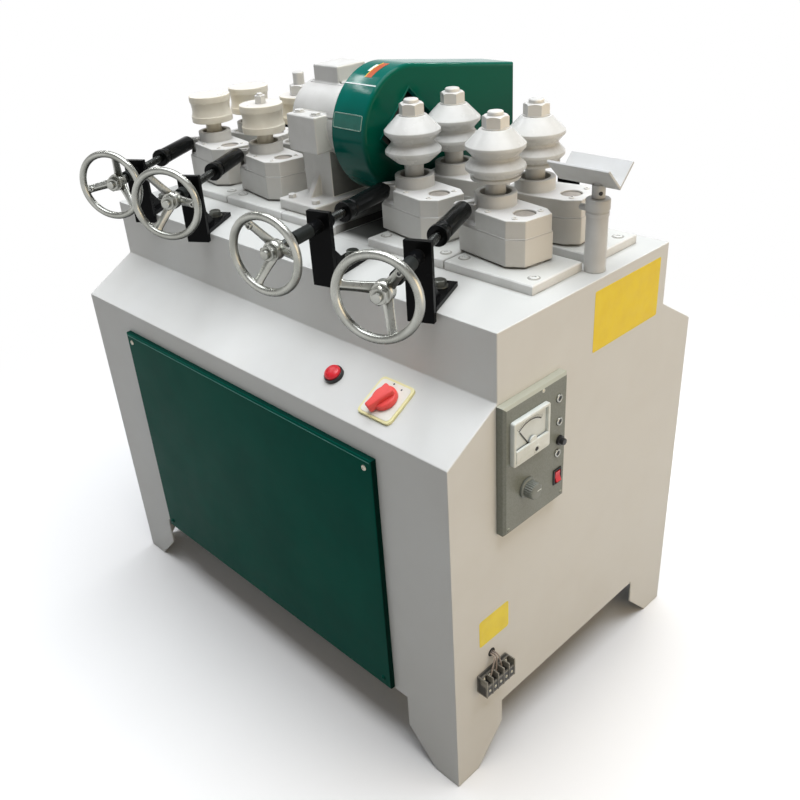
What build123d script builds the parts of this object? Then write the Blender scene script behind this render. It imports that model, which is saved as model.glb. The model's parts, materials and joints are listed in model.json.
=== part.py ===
from build123d import *
from math import cos, radians, sin, sqrt
import os

# Handle making machine. All sizes in millimetres, +Z up, -Y is the operator's side, stock runs towards -X.
# While modelling, x = 0 is the middle of the cabinet, y = 0 the middle of its lower depth, z = 0 the floor.

# Cabinet
cabinet_length = 1000.0
lower_depth = 636.0
front_step = 106.0
rear_step = 96.0
ledge_low = 657.0
ledge_high = 716.0
table_height = 825.0
sheet = 4.0
foot_width = 116.0
foot_flat = 52.0
foot_slant = 66.0
side_skirt = 117.0
front_skirt = 134.0
access_width = 620.0
access_height = 390.0
wire_hole_radius = 7.0
wire_hole_y = -229.0
wire_hole_z = 254.0

# Front panel
panel_width = 710.0
panel_bottom = 139.0
panel_height = 477.0
panel_proud = 10.0
panel_sheet = 2.0
panel_bend = 3.0

# Feed line and stations
feed_y = 50.0
feed_height = 162.0
infeed_near_x = 146.0
outfeed_near_x = -262.0
station_pitch = 175.0
roller_offset = 49.0
pivot_offset = 65.0
arm_turn = 9.0

# Bearing plates and pivot posts
plate_length = 172.0
plate_depth = 122.0
plate_thickness = 15.0
plate_chamfer = 2.0
plate_middle = 54.0
plate_offset = 75.0
plate_gap = 1.5
head_plate_right = 24.0
post_radius = 20.0
thrust_radius = 33.0
post_engagement = 52.0
arm_lift = 3.0
thrust_clearance = 0.3
pivot_clearance = 0.06

# Feed arms
arm_short_end = 47.0
arm_long_end = 33.0
arm_outer = 48.0
arm_inner = 40.0
short_corner = 14.0
long_corner = 23.0
outer_corner = 20.0
inner_corner = 12.0
case_height = 43.0
lid_height = 28.0
lid_margin = 1.5
collar_radius = 33.0
collar_height = 20.0
collar_bore = 24.0
collar_bore_depth = 26.0
recess_radius = 17.0
recess_depth = 5.0
shaft_engagement = 34.0
shaft_clearance = 0.06

# Push lugs on the front arms
infeed_lug_x = -34.0
outfeed_lug_x = -46.0
lug_y = -30.0
lug_half_width = 18.5
lug_slot_half = 14.0
lug_prong = 10.0
lug_height = 14.0
lug_root_x = 12.0
lug_root_y = 12.0
notch_clearance = 6.0
screw_height = 86.0

# Rollers
neck_radius = 16.0
infeed_radius = 46.5
infeed_root = 36.0
infeed_bottom = 129.0
infeed_near_foot_radius = 28.0
infeed_far_foot_radius = 38.0
infeed_lower_rim = 147.0
infeed_upper_rim = 179.0
rim_width = 5.0
root_width = 4.0
infeed_top = 204.0
infeed_top_radius = 24.0
outfeed_radius = 41.5
outfeed_waist = 38.0
outfeed_bottom = 128.0
outfeed_top = 180.0
outfeed_rim = 13.0
nut_flats = 36.0
nut_height = 19.0
stud_radius = 11.0
infeed_stud = 25.0
outfeed_stud = 42.0
small_nut_flats = 19.0
small_nut_height = 15.0
small_stud_radius = 6.0
small_stud = 19.0

# Adjusting screws, sleeves and handwheels
outfeed_far_angle = 30.0
outfeed_near_angle = 32.0
infeed_near_angle = 15.0
infeed_far_angle = 24.0
outfeed_far_reach = 320.0
outfeed_near_reach = 329.0
infeed_near_reach = 337.0
infeed_far_reach = 365.0
outfeed_far_spokes = 71.0
outfeed_near_spokes = -1.0
infeed_near_spokes = 3.0
infeed_far_spokes = 48.0
screw_radius = 7.0
screw_overhang = 18.0
screw_in_sleeve = 38.0
sleeve_radius = 16.0
sleeve_length = 110.0
cap_radius = 18.0
cap_length = 12.0
nose_radius = 8.0
nose_length = 17.0
nose_gap = 0.8
sleeve_fit = 0.08
wheel_radius = 62.5
rim_tube = 6.6
hub_radius = 15.0
hub_length = 18.0
wheel_dish = 23.0
spoke_root = 10.0
spoke_width = 11.0
spoke_thickness = 9.0
key_fit = 0.05
hub_nut_flats = 22.0
hub_nut_height = 10.0
washer_radius = 14.0
washer_thickness = 2.0

# Screw brackets
bracket_width = 41.0
bracket_top = 108.0
bracket_drop = 13.0
bracket_thickness = 10.0
bracket_gap = 2.0
front_boss_radius = 10.5
front_boss_length = 24.0
rear_boss_radius = 11.0
rear_boss_length = 20.0
boss_clearance = 0.3
bracket_foot_length = 100.0
bracket_foot_width = 40.0
bracket_foot_thickness = 8.0
gusset_height = 46.0
gusset_length = 46.0
gusset_thickness = 8.0
bracket_bolt_back = 80.0

# Hexagon bolts
bolt_flats = 18.0
bolt_head = 9.0
bolt_washer_radius = 13.0
bolt_washer = 2.0
foot_bolt_flats = 14.0
foot_bolt_head = 7.0

# Rear stops
stop_gap = 16.0
stop_clear = 1.0
stop_width = 40.0
stop_height = 96.0
stop_thickness = 8.0
stop_foot = 36.0
bumper_radius = 14.0

# Cutter head housing
housing_left = -146.0
housing_radius = 68.0
housing_foot_left = -140.0
housing_foot_right = -36.0
housing_foot_front = 123.0
housing_foot_back = 98.0
housing_foot_thickness = 20.0
column_left = -130.0
column_right = -54.0
column_half = 63.0
rib_thickness = 14.0
rib_height = 41.0
rib_reach = 28.0
ear_left = -127.0
ear_right = -49.0
ear_front = 94.0
ear_back = 50.0
ear_bottom = 120.0
ear_top = 185.0
crown_left = -129.0
crown_right = -62.0
crown_front = 20.0
crown_back = 48.0
crown_top = 257.0
cavity_radius = 58.0
bearing_land = 24.0
foot_bolt_x = 34.0
foot_bolt_inset = 18.0

# Cutter spindle, pulleys and belts
spindle_radius = 36.0
spindle_bore = 24.0
spindle_fit = 0.05
spindle_outlet = 8.0
spindle_inlet = 15.0
knife_ring_radius = 52.0
knife_ring_length = 34.0
knife_ring_offset = 46.0
spindle_groove_radius = 56.0
motor_groove_radius = 58.0
groove_depth = 9.0
groove_width = 12.0
groove_pitch = 18.0
pulley_edge = 5.0
belt_width = 11.0
belt_thickness = 8.0
belt_clearance = 0.3

# Belt cover
cover_left = 13.0
cover_width = 80.0
cover_radius = 108.0
cover_tail_y = 330.0
cover_tail_top = 230.0
cover_tail_bottom = 30.0
cover_sheet = 2.5
cover_bend = 8.0
back_sheet = 3.0
back_fit = 0.3
diamond_half = 69.0
spindle_window = 60.0
shaft_window = 22.0

# Main motor and its seat
motor_y = 245.0
motor_height = 120.0
motor_radius = 76.0
bell_radius = 68.0
motor_length = 168.0
bell_length = 26.0
motor_end_gap = 8.0
motor_shaft_radius = 14.0
motor_shaft_depth = 30.0
motor_fit = 0.05
saddle_half = 58.0
seat_thickness = 8.0
seat_top = 34.0
seat_half = 72.0
seat_lap = 34.0
seat_margin = 12.0

# Speed controller on the right side
control_y = -141.0
control_z = 601.5
control_width = 148.0
control_height = 223.0
control_depth = 16.0
control_chamfer = 4.0
meter_y = -161.0
meter_z = 650.0
meter_width = 84.0
meter_height = 74.0
meter_depth = 8.0
meter_frame = 6.0
meter_pocket = 5.0
needle_drop = 20.0
needle_rest = 126.0
needle_length = 42.0
needle_width = 1.6
needle_thickness = 1.0
needle_hub = 4.0
needle_gap = 0.4
speed_y = -163.0
speed_z = 556.0
speed_radius = 17.0
speed_length = 19.0
stem_radius = 4.0
stem_depth = 6.0
stem_clearance = 0.3
rocker_y = -88.0
rocker_z = 537.0
rocker_half_width = 6.0
rocker_half_length = 9.0
rocker_tilt = 8.0
rocker_crown = 4.0
rocker_valley = 2.0
rocker_body = 3.0
rocker_clearance = 0.4
rocker_end_clearance = 1.5
rocker_well = 7.0
fuse_y = -85.0
fuse_z = 602.0
fuse_radius = 8.0
fuse_length = 5.0
fuse_cap_radius = 5.5
fuse_cap_length = 6.0

# Terminal block and wires
strip_y = -230.0
strip_z = 209.0
strip_width = 72.0
strip_height = 36.0
strip_base = 9.0
strip_rib_depth = 22.0
strip_rib = 2.5
strip_bays = 5
strip_bar = 23.0
strip_bar_depth = 21.0
wire_radius = 1.4
wire_spread = 3.8
wire_inside = 12.0
wire_outside = 11.5
wire_bend = 6.0
wire_bay_depth = 8.0
wire_seat_gap = 0.4

# Rotary switch and push button on the sloped ledge
switch_x = 334.0
switch_up = 57.0
switch_width = 70.0
switch_plate_thickness = 5.0
knob_radius = 21.0
knob_height = 9.0
pointer_tip_width = 11.0
pointer_tail_width = 25.0
pointer_height = 8.0
pointer_overhang = 8.0
pointer_angle = 252.0
knob_gap = 0.4
button_x = 213.0
button_up = 60.0
bezel_radius = 16.5
bezel_height = 7.0
bezel_floor = 1.0
button_radius = 14.0
button_clearance = 0.3
button_proud = 7.0
button_body = 2.4

# Infeed trough and its post
trough_x = 474.0
trough_leg = 46.0
trough_sheet = 4.0
trough_right = 36.0
trough_left = 71.0
trough_bottom = 129.0
rod_radius = 7.2
rod_engagement = 70.0
rod_clearance = 0.1
trough_post_radius = 16.5
trough_post_height = 112.0
ring_groove = 1.5
ring_groove_width = 3.0
ring_groove_drop = 9.0
clamp_screw_radius = 5.0
clamp_screw_length = 14.0
clamp_screw_drop = 18.0

# Feed drive under the table
line_shaft_radius = 12.0
line_shaft_drop = 62.0
line_shaft_end = 30.0
line_fit = 0.05
hanger_length = 30.0
hanger_half = 28.0
hanger_wall = 18.0
worm_radius = 20.0
worm_length = 46.0
reducer_x = 14.0
reducer_length = 96.0
reducer_front = 50.0
reducer_back = 60.0
reducer_height = 160.0
feed_motor_radius = 58.0
feed_motor_length = 150.0
feed_motor_drop = 104.0

# Places worked out from the sizes above
half_length = cabinet_length / 2
half_depth = lower_depth / 2
front_wall = front_step - half_depth
rear_wall = half_depth - rear_step
feed_z = table_height + feed_height
plate_top = table_height + plate_thickness
plate_edge = plate_offset + plate_depth / 2
case_bottom = plate_top + arm_lift
case_top = case_bottom + case_height
lid_top = case_top + lid_height
collar_top = lid_top + collar_height
screw_z = table_height + screw_height
pivot_bore_top = case_bottom + post_engagement
pivot_x = pivot_offset * cos(radians(arm_turn))
pivot_y = roller_offset + pivot_offset * sin(radians(arm_turn))
cover_right = cover_left + cover_width
line_z = table_height - sheet - line_shaft_drop
motor_z = table_height + motor_height
motor_right = cover_left - motor_end_gap
ledge = Plane(
    origin=(0, -half_depth, ledge_low),
    x_dir=(1, 0, 0),
    z_dir=(0, ledge_low - ledge_high, front_step),
)
side = Plane(origin=(half_length, 0, 0), x_dir=(0, 1, 0), z_dir=(1, 0, 0))
feed_axis = Plane(origin=(0, feed_y, feed_z), x_dir=(0, 1, 0), z_dir=(1, 0, 0))
motor_axis = Plane(origin=(0, motor_y, motor_z), x_dir=(0, 1, 0), z_dir=(1, 0, 0))

# Each station: roller x, screw angle from -Y towards +X, reach from lug to rim, angle of the first spoke
stations = {
    "infeed_near": (infeed_near_x, infeed_near_angle, infeed_near_reach, infeed_near_spokes),
    "infeed_far": (infeed_near_x + station_pitch, infeed_far_angle, infeed_far_reach, infeed_far_spokes),
    "outfeed_near": (outfeed_near_x, outfeed_near_angle, outfeed_near_reach, outfeed_near_spokes),
    "outfeed_far": (outfeed_near_x - station_pitch, outfeed_far_angle, outfeed_far_reach, outfeed_far_spokes),
}
standing = (Align.CENTER, Align.CENTER, Align.MIN)


def slab(x0, x1, y0, y1, z0, z1):
    """A rectangular block between two corners."""
    block = Box(x1 - x0, y1 - y0, z1 - z0)
    return Pos((x0 + x1) / 2, (y0 + y1) / 2, (z0 + z1) / 2) * block


def rod(radius, start, end):
    """A round bar along the local Z axis from start to end."""
    return Pos(0, 0, start) * Cylinder(radius, end - start, align=standing)


def hexagon(flats, start, end):
    """A six-sided bar along the local Z axis."""
    outline = RegularPolygon(flats / 2, 6, major_radius=False)
    return Pos(0, 0, start) * extrude(outline, end - start)


def turned(*points):
    """A solid of revolution about the local Z axis from (radius, height) corners."""
    outline = Plane.XZ * Polygon(*points, align=None)
    return revolve(outline, Axis.Z)


def lug_x(station):
    """How far a front arm's lug stands from its roller axis along the feed."""
    return infeed_lug_x if station.startswith("infeed") else outfeed_lug_x


def screw_frame(station, x, y):
    """A frame along one adjusting screw: local Z outwards, local Y up."""
    turn = radians(stations[station][1])
    return Plane(origin=(x, y, screw_z), x_dir=(cos(turn), sin(turn), 0), z_dir=(sin(turn), -cos(turn), 0))


def screw_line(station):
    """The screw frame of a station with its origin at the lug."""
    return screw_frame(station, stations[station][0] + lug_x(station), feed_y - roller_offset + lug_y)


def cabinet_section(bottom):
    """The stepped cross-section of the cabinet, in (y, z)."""
    return Polygon(
        (-half_depth, bottom),
        (half_depth, bottom),
        (half_depth, ledge_low),
        (rear_wall, ledge_high),
        (rear_wall, table_height),
        (front_wall, table_height),
        (front_wall, ledge_high),
        (-half_depth, ledge_low),
        align=None,
    )


def foot_gap(half, skirt):
    """The opening left between two feet, with slanted lower corners."""
    return Polygon(
        (foot_flat - half, -sheet),
        (half - foot_flat, -sheet),
        (half - foot_flat, 0),
        (half - foot_width, foot_slant),
        (half - foot_width, skirt),
        (foot_width - half, skirt),
        (foot_width - half, foot_slant),
        (foot_flat - half, 0),
        align=None,
    )


def make_cabinet():
    body = extrude(Plane.YZ * cabinet_section(0), half_length, both=True)
    hollow = offset(cabinet_section(-2 * sheet), -sheet, kind=Kind.INTERSECTION)
    body -= extrude(Plane.YZ * hollow, half_length - sheet, both=True)
    body -= extrude(Plane.XZ * foot_gap(half_length, front_skirt), lower_depth, both=True)
    body -= extrude(Plane.YZ * foot_gap(half_depth, side_skirt), cabinet_length, both=True)
    access_bottom = panel_bottom + (panel_height - access_height) / 2
    access_end = access_bottom + access_height
    half_access = access_width / 2
    body -= slab(-half_access, half_access, -half_depth - sheet, 2 * sheet - half_depth, access_bottom, access_end)
    wire_hole = side.location * Pos(wire_hole_y, wire_hole_z) * rod(wire_hole_radius, -2 * sheet, sheet)
    return body - wire_hole


def make_front_panel():
    half = panel_width / 2
    top = panel_bottom + panel_height
    tray = slab(-half, half, -half_depth - panel_proud, -half_depth, panel_bottom, top)
    tray = fillet(tray.faces().sort_by(Axis.Y)[0].edges(), panel_bend)
    back = -half_depth + panel_sheet
    inner = half - panel_sheet
    front = panel_sheet - half_depth - panel_proud
    return tray - slab(-inner, inner, front, back, panel_bottom + panel_sheet, top - panel_sheet)


def each_place():
    """Roller x and side (-1 front, +1 rear) of all eight arms."""
    return [(stations[name][0], row) for name in stations for row in (-1, 1)]


def base_plate(x0, x1, y0, y1):
    """A flat plate on the table with its upper edges broken."""
    plate = slab(x0, x1, y0, y1, table_height, plate_top)
    return chamfer(plate.faces().sort_by(Axis.Z)[-1].edges(), plate_chamfer)


def make_base_plates():
    """One plate under each feed arm and one under the cutter head."""
    plates = []
    for x, row in each_place():
        middle_x = x + plate_middle
        middle_y = feed_y + row * plate_offset
        half_x = plate_length / 2
        half_y = plate_depth / 2
        plates.append(base_plate(middle_x - half_x, middle_x + half_x, middle_y - half_y, middle_y + half_y))
    head_left = outfeed_near_x + plate_middle + plate_length / 2 + plate_gap
    plates.append(base_plate(head_left, head_plate_right, feed_y - plate_edge, feed_y + plate_edge))
    return plates


def make_pivot_posts():
    posts = []
    collar_end = plate_top + arm_lift - thrust_clearance
    for x, row in each_place():
        post = rod(post_radius, plate_top, pivot_bore_top - thrust_clearance)
        post += rod(thrust_radius, plate_top, collar_end)
        posts.append(Pos(x + pivot_x, feed_y + row * pivot_y) * post)
    return posts


def arm_outline(margin):
    """Plan of a front arm about its roller axis: a rectangle with cut corners, swung towards the feed line."""
    left = margin - arm_short_end
    right = pivot_offset + arm_long_end - margin
    outer = margin - arm_outer
    inner = arm_inner - margin
    plan = Polygon(
        (left + short_corner, outer),
        (right - long_corner, outer),
        (right, outer + outer_corner),
        (right, inner - inner_corner),
        (right - long_corner, inner),
        (left + short_corner, inner),
        (left, inner - inner_corner),
        (left, outer + outer_corner),
        align=None,
    )
    return Rot(0, 0, -arm_turn) * plan


def make_lug(station):
    """The fork on a front arm's lid that takes the sleeve nose."""
    tip_x = lug_x(station)
    frame = screw_frame(station, tip_x, lug_y)
    left = frame.from_local_coords(Vector(-lug_half_width, 0, 0))
    plan = Polygon(
        (left.X, left.Y),
        (tip_x, lug_y),
        (tip_x + lug_root_x, lug_y + lug_root_y),
        (lug_root_x - arm_short_end, lug_y + 2 * lug_root_y),
        align=None,
    )
    lug = Pos(0, 0, screw_z - lug_height / 2) * extrude(plan, lug_height)
    for way in (-1, 1):
        middle = way * (lug_half_width + lug_slot_half) / 2
        prong = Box(lug_half_width - lug_slot_half, lug_height, lug_prong, align=standing)
        lug += frame.location * Pos(middle, 0, 0) * prong
    return lug


def make_notch(station):
    """The room for the nose and the sleeve, cut out of the lid's corner in front of the lug."""
    reach = 2 * arm_outer
    across = sleeve_radius + notch_clearance
    room = slab(-reach, lug_slot_half, -across, reach, 0, lug_prong)
    room += slab(-reach, across, -across, reach, lug_prong, reach)
    return screw_frame(station, lug_x(station), lug_y).location * room


def make_arm(station, row):
    """Gear case with lid, shaft collar and, at the front, the push lug."""
    case = Pos(0, 0, case_bottom) * extrude(arm_outline(0), case_height)
    lid = Pos(0, 0, case_top) * extrude(arm_outline(lid_margin), lid_height)
    if row < 0:
        lid = lid - make_notch(station) + make_lug(station)
    body = case + lid + rod(collar_radius, lid_top, collar_top)
    body -= rod(collar_bore, collar_top - collar_bore_depth, collar_top)
    body -= rod(neck_radius + shaft_clearance, collar_top - collar_bore_depth - shaft_engagement, collar_top)
    pivot = Pos(pivot_x, roller_offset - pivot_y, 0)
    body -= pivot * rod(recess_radius, lid_top - recess_depth, lid_top)
    body -= pivot * rod(post_radius + pivot_clearance, case_bottom, pivot_bore_top)
    if row > 0:
        body = mirror(body, about=Plane.XZ)
    return Pos(stations[station][0], feed_y + row * roller_offset) * body


def roller_nut(top, flats, height, stud):
    """The nut that clamps a roller, bored for its stud."""
    return hexagon(flats, top, top + height) - rod(stud + key_fit, top, top + height)


def shaft_foot():
    return collar_top - collar_bore_depth - shaft_engagement + thrust_clearance


def make_infeed_roller(x, row, foot_radius):
    """V-groove roller on its shaft, and its nut."""
    base = table_height
    groove = base + (infeed_lower_rim + infeed_upper_rim) / 2
    top = base + infeed_top
    body = turned(
        (0, shaft_foot()),
        (neck_radius, shaft_foot()),
        (neck_radius, base + infeed_bottom),
        (foot_radius, base + infeed_bottom),
        (infeed_radius, base + infeed_lower_rim - rim_width / 2),
        (infeed_radius, base + infeed_lower_rim + rim_width / 2),
        (infeed_root, groove - root_width / 2),
        (infeed_root, groove + root_width / 2),
        (infeed_radius, base + infeed_upper_rim - rim_width / 2),
        (infeed_radius, base + infeed_upper_rim + rim_width / 2),
        (infeed_top_radius, top),
        (stud_radius, top),
        (stud_radius, top + infeed_stud),
        (0, top + infeed_stud),
    )
    place = Pos(x, feed_y + row * roller_offset)
    return [place * body, place * roller_nut(top, nut_flats, nut_height, stud_radius)]


def make_outfeed_roller(x, row, stud=0, rise=0, flats=0, height=0):
    """Hollow-faced roller on its shaft, with its stud and nut, or flat on top where no stud is given."""
    bottom = table_height + outfeed_bottom
    top = table_height + outfeed_top
    stem = Polyline(
        (outfeed_radius, top - outfeed_rim),
        (outfeed_radius, top),
        (0, top),
        (0, shaft_foot()),
        (neck_radius, shaft_foot()),
        (neck_radius, bottom),
        (outfeed_radius, bottom),
        (outfeed_radius, bottom + outfeed_rim),
    )
    waist = ThreePointArc(
        (outfeed_radius, bottom + outfeed_rim),
        (outfeed_waist, (bottom + top) / 2),
        (outfeed_radius, top - outfeed_rim),
    )
    body = revolve(Plane.XZ * make_face([stem, waist]), Axis.Z)
    place = Pos(x, feed_y + row * roller_offset)
    if stud == 0:
        return [place * body]
    body += rod(stud, top, top + rise)
    return [place * body, place * roller_nut(top, flats, height, stud)]


def make_roller(station, row):
    """The roller that belongs to a station."""
    x = stations[station][0]
    if station == "infeed_near":
        return make_infeed_roller(x, row, infeed_near_foot_radius)
    if station == "infeed_far":
        return make_infeed_roller(x, row, infeed_far_foot_radius)
    if station == "outfeed_far":
        return make_outfeed_roller(x, row)
    if row < 0:
        return make_outfeed_roller(x, row, small_stud_radius, small_stud, small_nut_flats, small_nut_height)
    return make_outfeed_roller(x, row, stud_radius, outfeed_stud, nut_flats, nut_height)


def sleeve_end():
    """Distance from the lug to the front end of a sleeve's cap."""
    return nose_gap + nose_length + sleeve_length + cap_length


def make_sleeve(station):
    """Spring sleeve with a rounded nose that presses the lug and a cap that takes the screw."""
    nose_end = nose_gap + nose_length
    cap_start = nose_end + sleeve_length
    body = Pos(0, 0, nose_gap + nose_radius) * Sphere(nose_radius)
    body += rod(nose_radius, nose_gap + nose_radius, nose_end)
    body += rod(sleeve_radius, nose_end, cap_start)
    body += rod(cap_radius, cap_start, sleeve_end())
    body -= rod(screw_radius + sleeve_fit, sleeve_end() - screw_in_sleeve, sleeve_end())
    return screw_line(station).location * body


def make_screw(station):
    """Adjusting screw with the washer and nut that hold its handwheel."""
    hub_end = stations[station][2] - wheel_dish + hub_length / 2
    bar = rod(screw_radius, sleeve_end() - screw_in_sleeve + thrust_clearance, hub_end + screw_overhang)
    nut_start = hub_end + washer_thickness
    nut = rod(washer_radius, hub_end, nut_start)
    nut += hexagon(hub_nut_flats, nut_start, nut_start + hub_nut_height)
    nut -= rod(screw_radius + key_fit, hub_end, nut_start + hub_nut_height)
    line = screw_line(station).location
    return [line * bar, line * nut]


def make_handwheel(station):
    """Dished handwheel: a round rim, and three slanting spokes to a hub set back from it."""
    reach, first = stations[station][2:]
    middle = wheel_radius - rim_tube
    hub_back = -wheel_dish - hub_length / 2
    wheel = Rot(0, 0, 60) * Torus(middle, rim_tube) + rod(hub_radius, hub_back, hub_back + hub_length)
    slant = Polygon(
        (spoke_root, -wheel_dish - spoke_thickness / 2),
        (middle, -spoke_thickness / 2),
        (middle, spoke_thickness / 2),
        (spoke_root, -wheel_dish + spoke_thickness / 2),
        align=None,
    )
    bar = extrude(Plane.XZ * slant, spoke_width / 2, both=True)
    for spoke in range(3):
        wheel += Rot(0, 0, 120 * spoke) * bar
    wheel -= rod(screw_radius + key_fit, hub_back, hub_back + hub_length)
    return screw_line(station).location * Pos(0, 0, reach) * Rot(0, 0, first) * wheel


def bracket_place(station):
    """Distance from the lug along the screw to the middle of its bracket plate."""
    turn = radians(stations[station][1])
    start = feed_y - roller_offset + lug_y
    clear = start + bracket_width / 2 * sin(turn) - front_wall + bracket_gap
    return clear / cos(turn) + bracket_thickness / 2


def make_screw_bracket(station):
    """Angle bracket: upright plate with a boss, foot on the table and a gusset."""
    middle = bracket_place(station)
    low = -screw_height - bracket_drop
    high = bracket_top - screw_height
    floor = -screw_height
    half = bracket_width / 2
    back = middle - bracket_thickness / 2
    front = middle + bracket_thickness / 2
    body = slab(-half, half, low, high, back, front)
    foot_half = bracket_foot_width / 2
    foot_top = floor + bracket_foot_thickness
    body += slab(-foot_half, foot_half, floor, foot_top, back - bracket_foot_length, back)
    rib = Plane(origin=(foot_half - gusset_thickness, 0, 0), x_dir=(0, 0, 1), z_dir=(1, 0, 0))
    rib_plan = Polygon(
        (back, -foot_top),
        (back, -foot_top - gusset_height),
        (back - gusset_length, -foot_top),
        align=None,
    )
    body += extrude(rib * rib_plan, gusset_thickness)
    body += rod(front_boss_radius, front, front + front_boss_length)
    body += rod(rear_boss_radius, back - rear_boss_length, back)
    body -= rod(screw_radius + boss_clearance, back - rear_boss_length, front + front_boss_length)
    return screw_line(station).location * body


def make_bolt():
    """Hexagon bolt head on a washer, standing on its seat."""
    return rod(bolt_washer_radius, 0, bolt_washer) + hexagon(bolt_flats, bolt_washer, bolt_washer + bolt_head)


def stop_front():
    """Y of the front face of the rear stop plates, just behind the base plates."""
    return feed_y + plate_edge + stop_clear


def make_rear_stop(x):
    """Angle plate behind a rear arm with a round rubber bumper."""
    half = stop_width / 2
    front = stop_front()
    back = front + stop_thickness
    bumper_length = front - (feed_y + roller_offset + arm_outer + stop_gap)
    top = table_height + stop_height
    plate = slab(x - half, x + half, front, back, table_height, top)
    plate += slab(x - half, x + half, back, front + stop_foot, table_height, table_height + stop_thickness)
    bumper = Plane(origin=(x, front, case_top), x_dir=(1, 0, 0), z_dir=(0, -1, 0))
    return plate + bumper.location * rod(bumper_radius, 0, bumper_length)


def housing_foot_middle():
    return (housing_foot_left + housing_foot_right) / 2


def make_hex_bolts():
    bolts = []
    head = make_bolt()
    foot_head = hexagon(foot_bolt_flats, 0, foot_bolt_head)
    for name in stations:
        line = screw_line(name)
        spot = line.from_local_coords(Vector(0, 0, bracket_place(name) - bracket_bolt_back))
        bolts.append(Pos(spot.X, spot.Y, table_height + bracket_foot_thickness) * head)
        stop_y = stop_front() + (stop_thickness + stop_foot) / 2
        bolts.append(Pos(stations[name][0], stop_y, table_height + stop_thickness) * head)
    for way in (-1, 1):
        for row in (-1, 1):
            x = housing_foot_middle() + way * foot_bolt_x
            reach = housing_foot_front if row < 0 else housing_foot_back
            y = feed_y + row * (reach - foot_bolt_inset)
            bolts.append(Pos(x, y, plate_top + housing_foot_thickness) * foot_head)
    return bolts


def make_cutter_housing():
    """Cast housing: bored barrel on a ribbed column with a foot, a square ear and a top block."""
    barrel = feed_axis.location * rod(housing_radius, housing_left, cover_left)
    foot_top = plate_top + housing_foot_thickness
    near = feed_y - housing_foot_front
    far = feed_y + housing_foot_back
    body = barrel + slab(housing_foot_left, housing_foot_right, near, far, plate_top, foot_top)
    body += slab(column_left, column_right, feed_y - column_half, feed_y + column_half, foot_top, feed_z)
    middle = (column_left + column_right) / 2
    rib = Plane(origin=(middle, 0, 0), x_dir=(0, 1, 0), z_dir=(1, 0, 0))
    wall = feed_y - column_half
    plan = Polygon((wall, foot_top), (wall - rib_reach, foot_top), (wall, foot_top + rib_height), align=None)
    body += extrude(rib * plan, rib_thickness / 2, both=True)
    low = table_height + ear_bottom
    body += slab(ear_left, ear_right, feed_y - ear_front, feed_y - ear_back, low, table_height + ear_top)
    crown = table_height + crown_top
    body += slab(crown_left, crown_right, feed_y - crown_front, feed_y + crown_back, feed_z, crown)
    body -= feed_axis.location * rod(spindle_radius + spindle_fit, housing_left, cover_left)
    body -= feed_axis.location * rod(cavity_radius, housing_left + bearing_land, cover_left - bearing_land)
    return body


def belt_middle():
    """X of the middle of the pulleys: the middle of the belt cover."""
    return cover_left + cover_width / 2


def pulley(groove_radius):
    """Two-groove pulley about the local Z axis, centred on the belts."""
    half = groove_pitch / 2 + groove_width / 2 + pulley_edge
    wheel = rod(groove_radius + groove_depth, -half, half)
    for way in (-1, 1):
        start = way * groove_pitch / 2 - groove_width / 2
        ring = rod(groove_radius + 2 * groove_depth, start, start + groove_width)
        wheel -= ring - rod(groove_radius, start, start + groove_width)
    return wheel


def make_cutter_spindle():
    """Hollow spindle, the knife ring on it inside the housing and the pulley on it inside the belt cover."""
    outlet = housing_left - spindle_outlet
    inlet = cover_right - spindle_inlet
    tube = rod(spindle_radius, outlet, inlet) - rod(spindle_bore, outlet, inlet)
    seat = rod(spindle_radius + key_fit, outlet, inlet)
    ring_start = housing_left + knife_ring_offset
    ring = rod(knife_ring_radius, ring_start, ring_start + knife_ring_length) - seat
    wheel = Pos(0, 0, belt_middle()) * pulley(spindle_groove_radius) - seat
    return [feed_axis.location * tube, feed_axis.location * ring, feed_axis.location * wheel]


def make_motor_pulley():
    """Motor pulley on the motor shaft."""
    half = groove_pitch / 2 + groove_width / 2 + pulley_edge
    body = Pos(0, 0, belt_middle()) * pulley(motor_groove_radius)
    body += rod(motor_shaft_radius, motor_right - motor_shaft_depth + thrust_clearance, belt_middle() + half)
    return motor_axis.location * body


def belt_outline(grow):
    """Closed path round both pulleys, grown outwards from the groove floors, in (y, z)."""
    front = Pos(feed_y, feed_z) * Circle(spindle_groove_radius + grow)
    rear = Pos(motor_y, motor_z) * Circle(motor_groove_radius + grow)
    return make_hull(front.edges() + rear.edges())


def make_drive_belts():
    belts = []
    for way in (-1, 1):
        start = belt_middle() + way * groove_pitch / 2 - belt_width / 2
        lane = Plane(origin=(start, 0, 0), x_dir=(0, 1, 0), z_dir=(1, 0, 0))
        loop = belt_outline(belt_clearance + belt_thickness) - belt_outline(belt_clearance)
        belts.append(extrude(lane * loop, belt_width))
    return belts


def cover_outline(inset):
    """Drum and tail of the belt cover, in (y, z)."""
    drum = Pos(feed_y, feed_z) * Circle(cover_radius - inset)
    top = table_height + cover_tail_top - inset
    low = table_height + cover_tail_bottom + inset
    tail = Line((cover_tail_y - inset, low), (cover_tail_y - inset, top))
    return make_hull(drum.edges() + tail.edges())


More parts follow.
